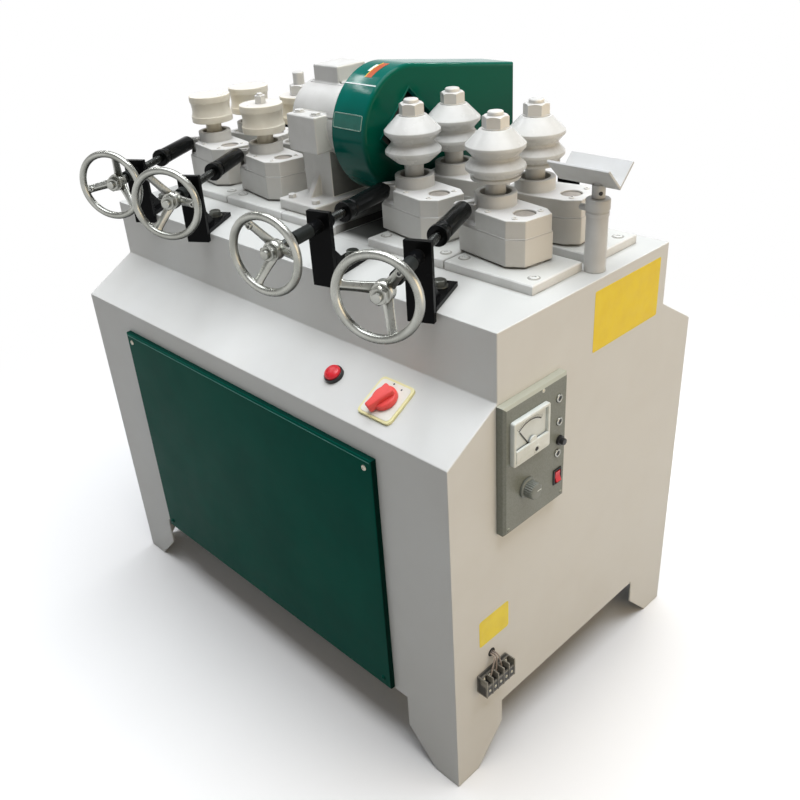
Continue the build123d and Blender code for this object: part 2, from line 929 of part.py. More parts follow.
def make_belt_cover():
    """Sheet cover, open towards the cutter head, and the back plate that closes it."""
    start = Plane(origin=(cover_left, 0, 0), x_dir=(0, 1, 0), z_dir=(1, 0, 0))
    shell = extrude(start * cover_outline(0), cover_width)
    shell = fillet(shell.faces().sort_by(Axis.X)[-1].edges(), cover_bend)
    inside = extrude(start * cover_outline(cover_sheet), cover_width - cover_sheet)
    shell -= fillet(inside.faces().sort_by(Axis.X)[-1].edges(), cover_bend - cover_sheet)
    square = Rot(0, 0, 45) * Rectangle(diamond_half * sqrt(2), diamond_half * sqrt(2))
    shell -= feed_axis.location * Pos(0, 0, cover_right - 2 * cover_sheet) * extrude(square, 3 * cover_sheet)
    back = extrude(start * cover_outline(cover_sheet + back_fit), back_sheet)
    back -= feed_axis.location * rod(spindle_window, 0, cover_right)
    back -= motor_axis.location * rod(shaft_window, 0, cover_right)
    return [shell, back]


def make_main_motor():
    """Foot-mounted motor behind the cutter head, its axis parallel to the feed line."""
    left = motor_right - motor_length - 2 * bell_length
    body = rod(bell_radius, left, motor_right)
    body += rod(motor_radius, left + bell_length, motor_right - bell_length)
    body = motor_axis.location * body
    seat = table_height + seat_top
    barrel_left = left + bell_length
    barrel_right = motor_right - bell_length
    foot = slab(barrel_left, barrel_right, motor_y - saddle_half, motor_y + saddle_half, seat, motor_z)
    bore = rod(motor_shaft_radius + motor_fit, motor_right - motor_shaft_depth, motor_right)
    return body + foot - motor_axis.location * bore


def make_motor_seat():
    """Channel that carries the motor at the rear edge of the table."""
    left = motor_right - motor_length - bell_length - seat_margin
    right = motor_right - bell_length + seat_margin
    top = table_height + seat_top
    start = Plane(origin=(left, 0, 0), x_dir=(0, 1, 0), z_dir=(1, 0, 0))
    section = Polygon(
        (rear_wall - seat_lap, table_height),
        (rear_wall, table_height),
        (rear_wall, top - seat_thickness),
        (motor_y + seat_half, top - seat_thickness),
        (motor_y + seat_half, top),
        (motor_y - seat_half, top),
        (motor_y - seat_half, top - seat_thickness),
        (rear_wall - seat_thickness, top - seat_thickness),
        (rear_wall - seat_thickness, table_height + seat_thickness),
        (rear_wall - seat_lap, table_height + seat_thickness),
        align=None,
    )
    return extrude(start * section, right - left)


def make_controller_box():
    """Flat control box with the wells of the speed knob and the rocker."""
    box = Pos(control_y, control_z) * Box(control_width, control_height, control_depth, align=standing)
    box = chamfer(box.faces().sort_by(Axis.Z)[-1].edges(), control_chamfer)
    box -= Pos(speed_y, speed_z) * rod(stem_radius + stem_clearance, control_depth - stem_depth, control_depth)
    well_width = 2 * (rocker_half_width + rocker_clearance)
    well_length = 2 * (rocker_half_length + rocker_end_clearance)
    well = Pos(rocker_y, rocker_z, control_depth - rocker_well)
    box -= well * Box(well_width, well_length, rocker_well, align=standing)
    return side.location * box


def make_meter_case():
    """Meter housing with a sunk dial face."""
    case = Box(meter_width, meter_height, meter_depth, align=standing)
    floor = meter_depth - meter_pocket
    dial_width = meter_width - 2 * meter_frame
    dial_height = meter_height - 2 * meter_frame
    case -= Pos(0, 0, floor) * Box(dial_width, dial_height, meter_pocket, align=standing)
    return side.location * Pos(meter_y, meter_z, control_depth) * case


def needle_centre():
    """Pivot of the needle below the middle of the dial, as (y, z)."""
    return meter_y, meter_z - needle_drop


def make_meter_needle():
    """Needle pointing up to the left at rest."""
    y, z = needle_centre()
    floor = control_depth + meter_depth - meter_pocket + needle_gap
    hub = rod(needle_hub, 0, 2 * needle_thickness)
    pointer = slab(0, needle_length, -needle_width / 2, needle_width / 2, 0, needle_thickness)
    return side.location * Pos(y, z, floor) * (hub + Rot(0, 0, needle_rest) * pointer)


def make_speed_knob():
    """Round control knob on a stem."""
    grip = rod(speed_radius, stem_clearance, speed_length)
    grip = chamfer(grip.faces().sort_by(Axis.Z)[-1].edges(), speed_radius / 10)
    stem = rod(stem_radius, stem_clearance - stem_depth + stem_clearance, speed_length / 2)
    mark = slab(0, speed_radius, -needle_width / 2, needle_width / 2, speed_length - needle_width, speed_length)
    return side.location * Pos(speed_y, speed_z, control_depth) * (grip + stem - mark)


def make_rocker():
    """Two-way rocker, its upper end pressed in at rest."""
    plan = Polygon(
        (-rocker_half_length, -rocker_body),
        (rocker_half_length, -rocker_body),
        (rocker_half_length, rocker_crown),
        (0, rocker_valley),
        (-rocker_half_length, rocker_crown),
        align=None,
    )
    cross = Plane(origin=(0, 0, 0), x_dir=(0, 1, 0), z_dir=(1, 0, 0))
    body = extrude(cross * plan, rocker_half_width, both=True)
    return side.location * Pos(rocker_y, rocker_z, control_depth) * Rot(-rocker_tilt, 0, 0) * body


def make_fuse_holder():
    """Round fuse holder with a smaller cap."""
    body = rod(fuse_radius, 0, fuse_length) + rod(fuse_cap_radius, fuse_length, fuse_length + fuse_cap_length)
    return side.location * Pos(fuse_y, fuse_z, control_depth) * body


def bay_centre(bay):
    """Distance of a terminal bay from the middle of the block."""
    pitch = (strip_width - strip_rib) / strip_bays
    return (bay - (strip_bays - 1) / 2) * pitch


def make_terminal_block():
    """Barrier strip: base, solid lower part and ribs between the terminals."""
    body = Box(strip_width, strip_height, strip_base, align=standing)
    lower = (strip_bar - strip_height) / 2
    body += Pos(0, lower) * Box(strip_width, strip_bar, strip_bar_depth, align=standing)
    pitch = (strip_width - strip_rib) / strip_bays
    for rib in range(strip_bays + 1):
        offset_y = (rib - strip_bays / 2) * pitch
        body += Pos(offset_y, 0) * Box(strip_rib, strip_height, strip_rib_depth, align=standing)
    return side.location * Pos(strip_y, strip_z) * body


def make_terminal_wires():
    """Three short wires from the hole in the cabinet side down into the terminal bays."""
    wires = []
    depth = strip_base + wire_seat_gap + wire_radius
    for number in (-1, 0, 1):
        start = wire_hole_y + number * wire_spread
        goal = strip_y + bay_centre(2 + number)
        lower = strip_z + strip_height / 2 - wire_bay_depth
        path = FilletPolyline(
            (half_length - wire_inside, start, wire_hole_z),
            (half_length + wire_outside, start, wire_hole_z),
            (half_length + depth, goal, lower),
            radius=wire_bend,
        )
        wires.append(sweep((path ^ 0) * Circle(wire_radius), path=path))
    return wires


def make_switch_plate():
    """Square plate of the rotary switch on the sloped ledge."""
    plate = Box(switch_width, switch_width, switch_plate_thickness, align=standing)
    plate -= rod(stem_radius + stem_clearance, 0, switch_plate_thickness)
    return ledge.location * Pos(switch_x, switch_up) * plate


def make_switch_knob():
    """Round knob with a tapered grip that points along its narrow end, and a stem through the plate."""
    tail = sqrt(knob_radius ** 2 - (pointer_tail_width / 2) ** 2)
    tip = knob_radius + pointer_overhang
    outline = Polygon(
        (-tail, -pointer_tail_width / 2),
        (tip, -pointer_tip_width / 2),
        (tip, pointer_tip_width / 2),
        (-tail, pointer_tail_width / 2),
        align=None,
    )
    grip = Pos(0, 0, knob_gap) * extrude(outline, knob_height + pointer_height - knob_gap)
    stem = rod(stem_radius, knob_gap - switch_plate_thickness + stem_clearance, knob_height)
    knob = rod(knob_radius, knob_gap, knob_height) + Rot(0, 0, pointer_angle) * grip + stem
    return ledge.location * Pos(switch_x, switch_up, switch_plate_thickness) * knob


def make_button_bezel():
    """Round cup that guides the push button."""
    cup = rod(bezel_radius, 0, bezel_height)
    cup -= rod(button_radius + button_clearance, bezel_floor, bezel_height)
    return ledge.location * Pos(button_x, button_up) * cup


def make_button():
    """Push button, standing out of its bezel at rest."""
    top = bezel_height + button_proud
    return ledge.location * Pos(button_x, button_up) * rod(button_radius, top - button_body - button_proud, top)


def make_trough():
    """V-shaped angle on a round rod."""
    bottom = table_height + trough_bottom
    inner = trough_sheet * sqrt(2)
    wing = trough_leg / sqrt(2)
    section = Polygon(
        (0, bottom),
        (wing, bottom + wing),
        (wing - inner / 2, bottom + wing + inner / 2),
        (0, bottom + inner),
        (inner / 2 - wing, bottom + wing + inner / 2),
        (-wing, bottom + wing),
        align=None,
    )
    start = Plane(origin=(trough_x - trough_left, feed_y, 0), x_dir=(0, 1, 0), z_dir=(1, 0, 0))
    angle = extrude(start * section, trough_left + trough_right)
    foot = table_height + trough_post_height - rod_engagement
    spike = Pos(trough_x, feed_y) * rod(rod_radius, foot + thrust_clearance, bottom + rod_radius)
    groove = Polygon((0, bottom + inner), (wing, bottom + inner + wing), (-wing, bottom + inner + wing), align=None)
    return angle + (spike - extrude(start * groove, trough_left + trough_right))


def make_trough_post():
    """Round post with a ring groove, bored for the rod, and its clamp screw."""
    top = table_height + trough_post_height
    post = rod(trough_post_radius, table_height, top)
    groove_top = top - ring_groove_drop
    ring = rod(trough_post_radius + ring_groove, groove_top - ring_groove_width, groove_top)
    post -= ring - rod(trough_post_radius - ring_groove, groove_top - ring_groove_width, groove_top)
    post -= rod(rod_radius + rod_clearance, top - rod_engagement, top)
    handle = Plane(origin=(0, 0, top - clamp_screw_drop), x_dir=(0, 1, 0), z_dir=(-1, 0, 0))
    reach = trough_post_radius + clamp_screw_length
    bar = handle.location * rod(clamp_screw_radius, (rod_radius + trough_post_radius) / 2, reach)
    return Pos(trough_x, feed_y) * (post + bar)


def line_places():
    """X of the four worms: one under each pair of pivots."""
    return [stations[name][0] + pivot_x for name in stations]


def shaft_ends():
    places = line_places()
    return min(places) - worm_length / 2 - line_shaft_end, max(places) + worm_length / 2 + line_shaft_end


def make_line_shaft():
    """Shaft along the machine below the table with a worm under each pair of arms."""
    left, right = shaft_ends()
    axis = Plane(origin=(0, feed_y, line_z), x_dir=(0, 1, 0), z_dir=(1, 0, 0))
    body = rod(line_shaft_radius, left, right)
    for x in line_places():
        body += rod(worm_radius, x - worm_length / 2, x + worm_length / 2)
    return axis.location * body


def make_line_bearings():
    """Hanger bearings that carry the line shaft below the table top."""
    left, right = shaft_ends()
    hangers = []
    for x in (left + hanger_length / 2, right - hanger_length / 2):
        low = line_z - line_shaft_radius - hanger_wall
        block = slab(-hanger_half, hanger_half, -hanger_length / 2, hanger_length / 2, low, table_height - sheet)
        block = Pos(x, feed_y) * Rot(0, 0, 90) * block
        bore = Plane(origin=(x, feed_y, line_z), x_dir=(0, 1, 0), z_dir=(1, 0, 0))
        hangers.append(block - bore.location * rod(line_shaft_radius + line_fit, -hanger_length, hanger_length))
    return hangers


def make_feed_motor():
    """Feed motor and reducer, hung below the table top round the line shaft."""
    left = reducer_x - reducer_length / 2
    right = reducer_x + reducer_length / 2
    ceiling = table_height - sheet
    front = feed_y - reducer_front
    box = slab(left, right, front, feed_y + reducer_back, ceiling - reducer_height, ceiling)
    bore = Plane(origin=(left, feed_y, line_z), x_dir=(0, 1, 0), z_dir=(1, 0, 0))
    box -= bore.location * rod(line_shaft_radius + line_fit, 0, reducer_length)
    motor = Plane(origin=(reducer_x, front, ceiling - feed_motor_drop), x_dir=(1, 0, 0), z_dir=(0, -1, 0))
    return box + motor.location * rod(feed_motor_radius, 0, feed_motor_length)


def make_all():
    """Every node of the machine by name."""
    nodes = {
        "cabinet": make_cabinet(),
        "front_panel": make_front_panel(),
        "base_plates": make_base_plates(),
        "pivot_posts": make_pivot_posts(),
        "screw_brackets": [make_screw_bracket(name) for name in stations],
        "rear_stops": [make_rear_stop(stations[name][0]) for name in stations],
        "hex_bolts": make_hex_bolts(),
        "cutter_housing": make_cutter_housing(),
        "cutter_spindle": make_cutter_spindle(),
        "belt_cover": make_belt_cover(),
        "drive_belts": make_drive_belts(),
        "motor_pulley": make_motor_pulley(),
        "main_motor": make_main_motor(),
        "motor_seat": make_motor_seat(),
        "controller_box": make_controller_box(),
        "meter_case": make_meter_case(),
        "meter_needle": make_meter_needle(),
        "speed_knob": make_speed_knob(),
        "rocker": make_rocker(),
        "fuse_holder": make_fuse_holder(),
        "terminal_block": make_terminal_block(),
        "terminal_wires": make_terminal_wires(),
        "switch_plate": make_switch_plate(),
        "switch_knob": make_switch_knob(),
        "button_bezel": make_button_bezel(),
        "button": make_button(),
        "trough": make_trough(),
        "trough_post": make_trough_post(),
        "line_shaft": make_line_shaft(),
        "line_bearings": make_line_bearings(),
        "feed_motor": make_feed_motor(),
    }
    for name in stations:
        nodes["front_arm_" + name] = make_arm(name, -1)
        nodes["rear_arm_" + name] = make_arm(name, 1)
        nodes["front_roller_" + name] = make_roller(name, -1)
        nodes["rear_roller_" + name] = make_roller(name, 1)
        nodes["sleeve_" + name] = make_sleeve(name)
        nodes["screw_" + name] = make_screw(name)
        nodes["handwheel_" + name] = make_handwheel(name)
    return nodes


def main():
    """Move the machine so its footprint is centred on the origin and write one file per node."""
    os.makedirs("parts", exist_ok=True)
    shapes = {}
    for name, made in make_all().items():
        solids = made if isinstance(made, list) else [made]
        shapes[name] = Compound([solid for piece in solids for solid in piece.solids()])
    box = Compound(list(shapes.values())).bounding_box()
    centre = box.center()
    home = Pos(-centre.X, -centre.Y, -box.min.Z)
    for name, shape in shapes.items():
        export_step(home * shape, os.path.join("parts", name + ".step"))


main()
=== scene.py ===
import json
from collections import namedtuple
from functools import partial
from math import cos, pi, radians, sin

import bmesh
import bpy
import numpy as np
from mathutils import Matrix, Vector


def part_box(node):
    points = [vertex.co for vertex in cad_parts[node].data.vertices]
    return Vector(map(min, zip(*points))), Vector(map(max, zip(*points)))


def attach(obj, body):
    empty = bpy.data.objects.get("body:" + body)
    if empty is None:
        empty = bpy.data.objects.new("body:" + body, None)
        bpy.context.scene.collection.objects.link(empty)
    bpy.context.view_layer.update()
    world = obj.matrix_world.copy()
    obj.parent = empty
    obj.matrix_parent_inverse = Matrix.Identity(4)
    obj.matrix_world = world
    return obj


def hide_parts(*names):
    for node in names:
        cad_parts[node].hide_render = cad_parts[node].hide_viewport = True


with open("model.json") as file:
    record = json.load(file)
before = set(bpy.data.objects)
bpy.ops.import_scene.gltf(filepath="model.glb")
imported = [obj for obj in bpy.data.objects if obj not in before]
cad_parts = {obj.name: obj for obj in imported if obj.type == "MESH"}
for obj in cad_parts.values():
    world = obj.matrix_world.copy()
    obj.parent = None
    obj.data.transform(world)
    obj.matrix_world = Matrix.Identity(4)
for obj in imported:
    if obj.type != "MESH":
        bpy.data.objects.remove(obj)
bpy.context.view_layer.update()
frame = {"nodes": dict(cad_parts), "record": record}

# The machine is drawn in millimetres: x = 0 in the middle of the cabinet, y = 0 in the middle of its depth,
# z = 0 on the floor. The cabinet's own box says where that point lies in the frame.
mm = 0.001
lowest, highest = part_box("cabinet")
home = np.array([(lowest[0] + highest[0]) / 2, (lowest[1] + highest[1]) / 2, 0.0])
body_of = {node: body for body, nodes in frame["record"]["behaviour"]["bodies"].items() for node in nodes}

# Sizes that the looks share with the solids
table = 825.0
plate_top = 840.0
lid_top = 914.0
feed_y, feed_z = 50.0, 987.0
roller_offset = 49.0
pivot_offset = 65.0
arm_turn = 9.0
lug_y = -29.0
screw_z = 911.0
thread_pitch = 4.0
bracket_clear = 185.0
bracket_half_width = 20.5
bracket_thickness = 10.0
bracket_foot = 8.0
bracket_bolt_back = 85.0
wheel_dish = 23.0
spoke_root = 10.0
spoke_run = 45.9
right_face = 500.0
front_face = -318.0
panel_proud = 10.0
control_depth = 16.0
ledge_low = 657.0
ledge_run, ledge_rise = 106.0, 59.0
motor_y, motor_z = 245.0, 945.0
cover_radius = 108.0
post_x, post_top = 474.0, 937.0

# Each station: roller x, screw angle, reach from lug to rim, spoke with the handle hole, lug x from roller
Station = namedtuple("Station", "x angle reach spoke lug")
stations = {
    "infeed_near": Station(146.0, 15.0, 337.0, 123.0, -34.0),
    "infeed_far": Station(321.0, 24.0, 365.0, 48.0, -34.0),
    "outfeed_near": Station(-262.0, 32.0, 329.0, -1.0, -46.0),
    "outfeed_far": Station(-437.0, 30.0, 320.0, 191.0, -46.0),
}
sides = {"front": -1, "rear": 1}
along_x, along_y, upright = (1, 0, 0), (0, 1, 0), (0, 0, 1)


# ---- surfaces worked out as whole arrays


def stand(origin, across=along_x, up=along_y):
    """A local frame: its origin and three directions, the third square to the first two."""
    x = np.asarray(across, float) / np.linalg.norm(across)
    z = np.cross(x, up)
    z = z / np.linalg.norm(z)
    return np.asarray(origin, float), np.array([x, np.cross(z, x), z])


def put(points, place):
    """Local points moved into the machine: the origin plus each coordinate times its direction."""
    origin, directions = place
    return origin + np.asarray(points, float) @ directions


def shifted(place, x=0.0, y=0.0, z=0.0, turn=0.0):
    """The same frame moved along its own directions and turned about its third one."""
    c, s = cos(radians(turn)), sin(radians(turn))
    return put((x, y, z), place), np.array([[c, s, 0], [-s, c, 0], [0, 0, 1]]) @ place[1]


def grid(points, wrap_rows=False, wrap_columns=True, caps=False):
    """Quads over a grid of points as whole index arrays; wrapping joins the last line to the first,
    caps close the first and the last row."""
    rows, columns = points.shape[:2]
    row = np.arange(rows - (not wrap_rows))[:, None]
    column = np.arange(columns - (not wrap_columns))[None]
    here, under, beside = row * columns, (row + 1) % rows * columns, (column + 1) % columns
    faces = [np.stack([here + column, here + beside, under + beside, under + column], -1).reshape(-1, 4)]
    if caps:
        line = np.arange(columns)
        faces += [line[None, ::-1], line[None] + (rows - 1) * columns]
    return points.reshape(-1, 3), faces


def full_turn(count):
    """The angles of a full turn in equal steps."""
    return np.linspace(0, 2 * pi, count, endpoint=False)


def around(radius, angle, height, place, **joins):
    """A surface round the third direction of a frame: its points (r cos a, r sin a, h), row by row."""
    points = np.broadcast_arrays(radius * np.cos(angle), radius * np.sin(angle), height)
    return grid(put(np.stack(points, -1), place), **joins)


def rounded(corners, trim, steps, closed=False):
    """A corner line whose corners are parabolas: corner + trim ((1-t)^2 towards the last point
    + t^2 towards the next one), with t from 0 to 1. The ends of an open line have no trim."""
    corners = np.asarray(corners, float)
    reach = np.zeros((len(corners), 1, 1))
    reach[slice(None) if closed else slice(1, -1), 0, 0] = trim
    back, ahead = (np.roll(corners, way, 0) - corners for way in (1, -1))
    back, ahead = (side / np.linalg.norm(side, axis=1, keepdims=True) for side in (back, ahead))
    t = np.linspace(0, 1, steps)[None, :, None]
    bend = (1 - t) ** 2 * back[:, None] + t**2 * ahead[:, None]
    line = (corners[:, None] + reach * bend).reshape(-1, 2)
    step = np.linalg.norm(np.diff(line, axis=0, prepend=line[-1:] + 1), axis=1)
    return line[step > 1e-6]


def turned(profile, place, segments):
    """Surface of revolution: profile point (r, h) goes to (r cos a, r sin a, h) of the local frame."""
    profile = np.asarray(profile, float)
    return around(profile[:, :1], full_turn(segments), profile[:, 1:], place)


def lathe(corners, trim, place, segments=40, steps=4):
    """A turned piece from the corners of its profile, each rounded off by its trim."""
    return turned(rounded(corners, trim, steps), place, segments)


def ring_bar(middle, half, power, place):
    """A closed ring whose section is the superellipse |cos b|^(2/power), |sin b|^(2/power) about the middle
    radius."""
    b = full_turn(24)[:, None]
    wide, high = (half * np.sign(part) * np.abs(part) ** (2 / power) for part in (np.cos(b), np.sin(b)))
    return around(middle + wide, full_turn(120), high, place, wrap_rows=True)


def nut(flats, low, high, place, hole=0.0):
    """Six-sided nut: at angle a its side stands at half the flats over cos(a folded into a sixth of a turn),
    and its upper edge falls away beyond a circle just inside the flats, as a turned chamfer does."""
    a = full_turn(72)
    even = np.ones_like(a)
    inner = flats / 2
    chamfer = 0.95 * inner
    side = inner / np.cos((a + pi / 6) % (pi / 3) - pi / 6)
    fall = (side - chamfer) * 0.6
    radius = np.stack([hole * even, chamfer * even, side, side, hole * even])
    height = np.stack([high * even, high * even, high - fall, low * even, low * even])
    return around(radius, a, height, place, wrap_rows=hole > 0)


def plate(outline, profile, place):
    """A flat piece: the counter-clockwise outline moved inwards by each profile inset (mitred at its
    corners), lifted to the profile's height, and closed by flat ends."""
    profile = np.asarray(profile, float)
    edge = np.roll(outline, -1, 0) - outline
    normal = np.stack([edge[:, 1], -edge[:, 0]], -1) / np.linalg.norm(edge, axis=1, keepdims=True)
    mitre = normal + np.roll(normal, 1, 0)
    mitre = mitre / np.sum(mitre * normal, axis=1, keepdims=True)
    flat = outline[None] - profile[:, :1, None] * mitre[None]
    height = np.broadcast_to(profile[:, None, 1:], flat.shape[:2] + (1,))
    return grid(put(np.concatenate([flat, height], -1), place), caps=True)


def soft_edge(low, high, radius, steps=5):
    """Profile of a plate from low to high whose upper edge is a quarter circle."""
    a = np.linspace(0, pi / 2, steps)
    top = np.stack([radius * (1 - np.cos(a)), high - radius * (1 - np.sin(a))], -1)
    return np.concatenate([[(0.0, low)], top])


def box_outline(width, height, trim):
    """A rectangle about the origin with its corners rounded, counter-clockwise."""
    w, h = width / 2, height / 2
    return rounded([(-w, -h), (w, -h), (w, h), (-w, h)], trim, 5, closed=True)


def sheet(width, height, trim, low, high, place):
    """A rectangle with rounded corners and straight sides from low to high."""
    return plate(box_outline(width, height, trim), [(0, low), (0, high)], place)


def circle(radius, count):
    """Points of a circle, counter-clockwise."""
    a = full_turn(count)
    return np.stack([radius * np.cos(a), radius * np.sin(a)], -1)


def threaded(radius, depth, start, end, place):
    """Screw thread: the radius falls by depth times the distance of (h / pitch - a / 2 pi) from its nearest
    crest, and both ends run out to the core."""
    rows_a_turn = 8
    h = np.linspace(start, end, int((end - start) / thread_pitch * rows_a_turn))[:, None]
    a = full_turn(16)
    crest = np.abs(((h / thread_pitch - a / (2 * pi)) % 1.0) - 0.5) * 2
    near_end = np.clip(np.minimum(h - start, end - h) / thread_pitch, 0, 1)
    return around(radius - depth * (1 - near_end * crest), a, h, place, caps=True)


# ---- pieces


def linked(name, data):
    """A new object in the scene."""
    made = bpy.data.objects.new(name, data)
    bpy.context.scene.collection.objects.link(made)
    return made


def welded(name, points, faces):
    """A new mesh, and a working copy of it whose double points are merged."""
    mesh = bpy.data.meshes.new(name)
    mesh.from_pydata(points.tolist(), [], faces)
    work = bmesh.new()
    work.from_mesh(mesh)
    bmesh.ops.remove_doubles(work, verts=work.verts, dist=2e-6)
    return mesh, work


def finish_mesh(name, mesh, work, finish, node, stands_for, crease):
    """Links the worked mesh as one piece: smooth faces with edges sharper than crease kept, and its finish.
    It rides with the node it is like and may stand for it."""
    work.to_mesh(mesh)
    work.free()
    mesh.shade_smooth()
    mesh.set_sharp_from_angle(angle=radians(crease))
    mesh.materials.append(finishes[finish])
    made = linked(name, mesh)
    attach(made, body_of[node])
    if stands_for:
        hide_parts(node)
    return made


def piece(name, shells, finish, like, stands_for=False, crease=32):
    """One object from surfaces in the machine's mm: doubles merged, faces turned outwards."""
    starts = np.cumsum([0] + [len(points) for points, _ in shells])
    points = np.concatenate([points for points, _ in shells]) * mm + home
    blocks = [array + start for (_, faces), start in zip(shells, starts) for array in faces]
    mesh, work = welded(name, points, [corners for block in blocks for corners in block.tolist()])
    bmesh.ops.dissolve_degenerate(work, edges=work.edges, dist=1e-7)
    bmesh.ops.recalc_face_normals(work, faces=work.faces)
    finish_mesh(name, mesh, work, finish, like, stands_for, crease)


def softened(node, finish, width, segments=2, crease=32, shortest=0.0):
    """Stands for a CAD node: a merged copy with its flat faces made whole and its edges rounded over, those
    shorter than `shortest` mm left sharp."""
    source = frame["nodes"][node].data
    points = np.empty(len(source.vertices) * 3, np.float32)
    source.vertices.foreach_get("co", points)
    corners = np.empty(len(source.loops), np.int32)
    source.loops.foreach_get("vertex_index", corners)
    name = node + "_soft"
    mesh, work = welded(name, points.reshape(-1, 3), corners.reshape(-1, 3).tolist())
    bmesh.ops.dissolve_limit(work, angle_limit=radians(0.4), verts=work.verts, edges=work.edges)
    weight = work.edges.layers.float.new("bevel_weight_edge")
    for edge in work.edges:
        edge[weight] = float(edge.calc_face_angle(0.0) > radians(32) and edge.calc_length() >= shortest * mm)
    made = finish_mesh(name, mesh, work, finish, node, True, crease)
    if width:
        bevel = made.modifiers.new("rounded_edges", "BEVEL")
        bevel.width = width * mm
        bevel.segments = segments
        bevel.limit_method = "WEIGHT"
        bevel.use_clamp_overlap = False
        bevel.harden_normals = True
        bevel.miter_outer = "MITER_ARC"


# ---- finishes

finishes = {}


def linear(code):
    """An sRGB hex colour as the linear colour that the shader mixes."""
    part = np.array([int(code[i : i + 2], 16) for i in (1, 3, 5)]) / 255
    return (*np.where(part <= 0.04045, part / 12.92, ((part + 0.055) / 1.055) ** 2.4).tolist(), 1.0)


def add(tree, kind, inputs=None, out=0, **settings):
    """Adds one shader node: settings are its own properties, inputs are values or the sockets that feed it,
    and the output asked for comes back."""
    made = tree.nodes.new("ShaderNode" + kind)
    for name, value in settings.items():
        setattr(made, name, value)
    for name, value in (inputs or {}).items():
        if isinstance(value, bpy.types.NodeSocket):
            tree.links.new(value, made.inputs[name])
        else:
            made.inputs[name].default_value = value
    return made.outputs[out] if made.outputs else None


def begin(name):
    """A new finish, kept under its name: what adds a node to it, and the place on the piece in metres."""
    made = finishes[name] = bpy.data.materials.new(name)
    made.use_nodes = True
    made.node_tree.nodes.clear()
    node = partial(add, made.node_tree)
    return node, node("TexCoord", out="Object")


def layer(node, colour, tone, measure, low, high, first=0.0, last=1.0, soft=True, patch=None):
    """Lays a tone over a colour: its share runs from first to last while a measure runs from low to high, and
    a pattern may break it up."""
    span = {"Value": measure, "From Min": low, "From Max": high, "To Min": first, "To Max": last}
    share = node("MapRange", span, interpolation_type="SMOOTHSTEP" if soft else "LINEAR")
    if patch is not None:
        share = node("Math", {0: share, 1: patch}, operation="MULTIPLY")
    return node("Mix", {0: share, 6: colour, 7: tone}, 2, data_type="RGBA")


def close(node, colour, smear, brightest, dullest, relief, strength, depth, high=0.75, **more):
    """Ends a finish: its roughness runs from brightest to dullest with a smear, and a relief `depth` mm deep
    breaks the shine."""
    sheen = {"Value": smear, "From Min": 0.3, "From Max": high, "To Min": brightest, "To Max": dullest}
    surface = {
        "Base Color": colour,
        "Roughness": node("MapRange", sheen),
        "Normal": node("Bump", {"Height": relief, "Strength": strength, "Distance": depth * mm}),
        **more,
    }
    node("OutputMaterial", {"Surface": node("BsdfPrincipled", surface)})


def paint(name, tone, second, dust_and_painted_light, gloss, peel, depth, cloud, shine=0.5, ends=None, lying=None, sunk=None):
    """Sprayed paint: two tones drift into each other over `cloud` mm, dust and painted shade lie in corners
    in patches of 22 mm, and dimples `peel` mm wide break a shine that is smeared over 67 mm. Faces that look
    along x or straight up may have a tone of their own, a painted light or shade, and along one axis the
    paint may darken from the second to the first of two places, a painted shade."""
    node, place = begin(name)
    cloudy, patch, smear, skin = [
        node("TexNoise", {"Vector": place, "Scale": scale, "Detail": detail, "Roughness": rough})
        for scale, detail, rough in (
            (1000 / cloud, 4.0, 0.6), (45.0, 3.0, 0.6), (15.0, 4.0, 0.65), (1000 / peel, 2.0, 0.45))
    ]
    colour = layer(node, linear(tone), linear(second), cloudy, 0.35, 0.68)
    # Painted light and shade: faces that look along x or straight up take a tone of their own.
    for axis, low, high, own in ((0, 0.3, 0.8, ends), (2, 0.9, 0.98, lying)):
        if own:
            facing = node("SeparateXYZ", {0: node("NewGeometry", out="Normal")}, axis)
            colour = layer(node, colour, linear(own), facing, low, high, soft=False)
    # Dust and painted shade, deepest in the corners.
    corner = node("AmbientOcclusion", {"Distance": 14 * mm}, "AO", samples=6)
    colour = layer(node, colour, linear(dust_and_painted_light), corner, 0.25, 0.85, 0.75, 0.0, patch=patch)
    # Painted shade: darker towards one end of an axis.
    if sunk:
        axis, darkest, clear, share = sunk
        along = node("SeparateXYZ", {0: place}, axis)
        colour = layer(node, colour, linear(dust_and_painted_light), along, darkest, clear, share, 0.0)
    more = {"Specular IOR Level": shine}
    close(node, colour, smear, gloss - 0.04, gloss + 0.06, skin, 0.5, depth, **more)


def metal(name, tone, second, gloss, streak, depth=0.02, tarnish="#6b675f", under=None):
    """Bare or plated metal: two tones over 40 mm, fine streaks in the shine, a faint tarnish in the corners,
    and if asked a painted shade on the faces that look down."""
    node, place = begin(name)
    cloudy = node("TexNoise", {"Vector": place, "Scale": 25.0, "Detail": 4.0, "Roughness": 0.6})
    colour = layer(node, linear(tone), linear(second), cloudy, 0.35, 0.7)
    # Painted shade: faces that look down darken towards the `under` tone.
    if under:
        facing = node("SeparateXYZ", {0: node("NewGeometry", out="Normal")}, 2)
        colour = layer(node, colour, linear(under), facing, -0.6, 0.1, 1.0, 0.0, soft=False)
    corner = node("AmbientOcclusion", {"Distance": 6 * mm}, "AO", samples=6)
    colour = layer(node, colour, linear(tarnish), corner, 0.2, 0.8, 0.7, 0.0)
    stretched = node("Mapping", {"Vector": place, "Scale": (1.0, 1.0, 0.12)})
    lines = node("TexNoise", {"Vector": stretched, "Scale": 1000 / streak, "Detail": 3.0, "Roughness": 0.6})
    close(node, colour, lines, gloss - 0.05, gloss + 0.1, lines, 0.35, depth, Metallic=1.0)


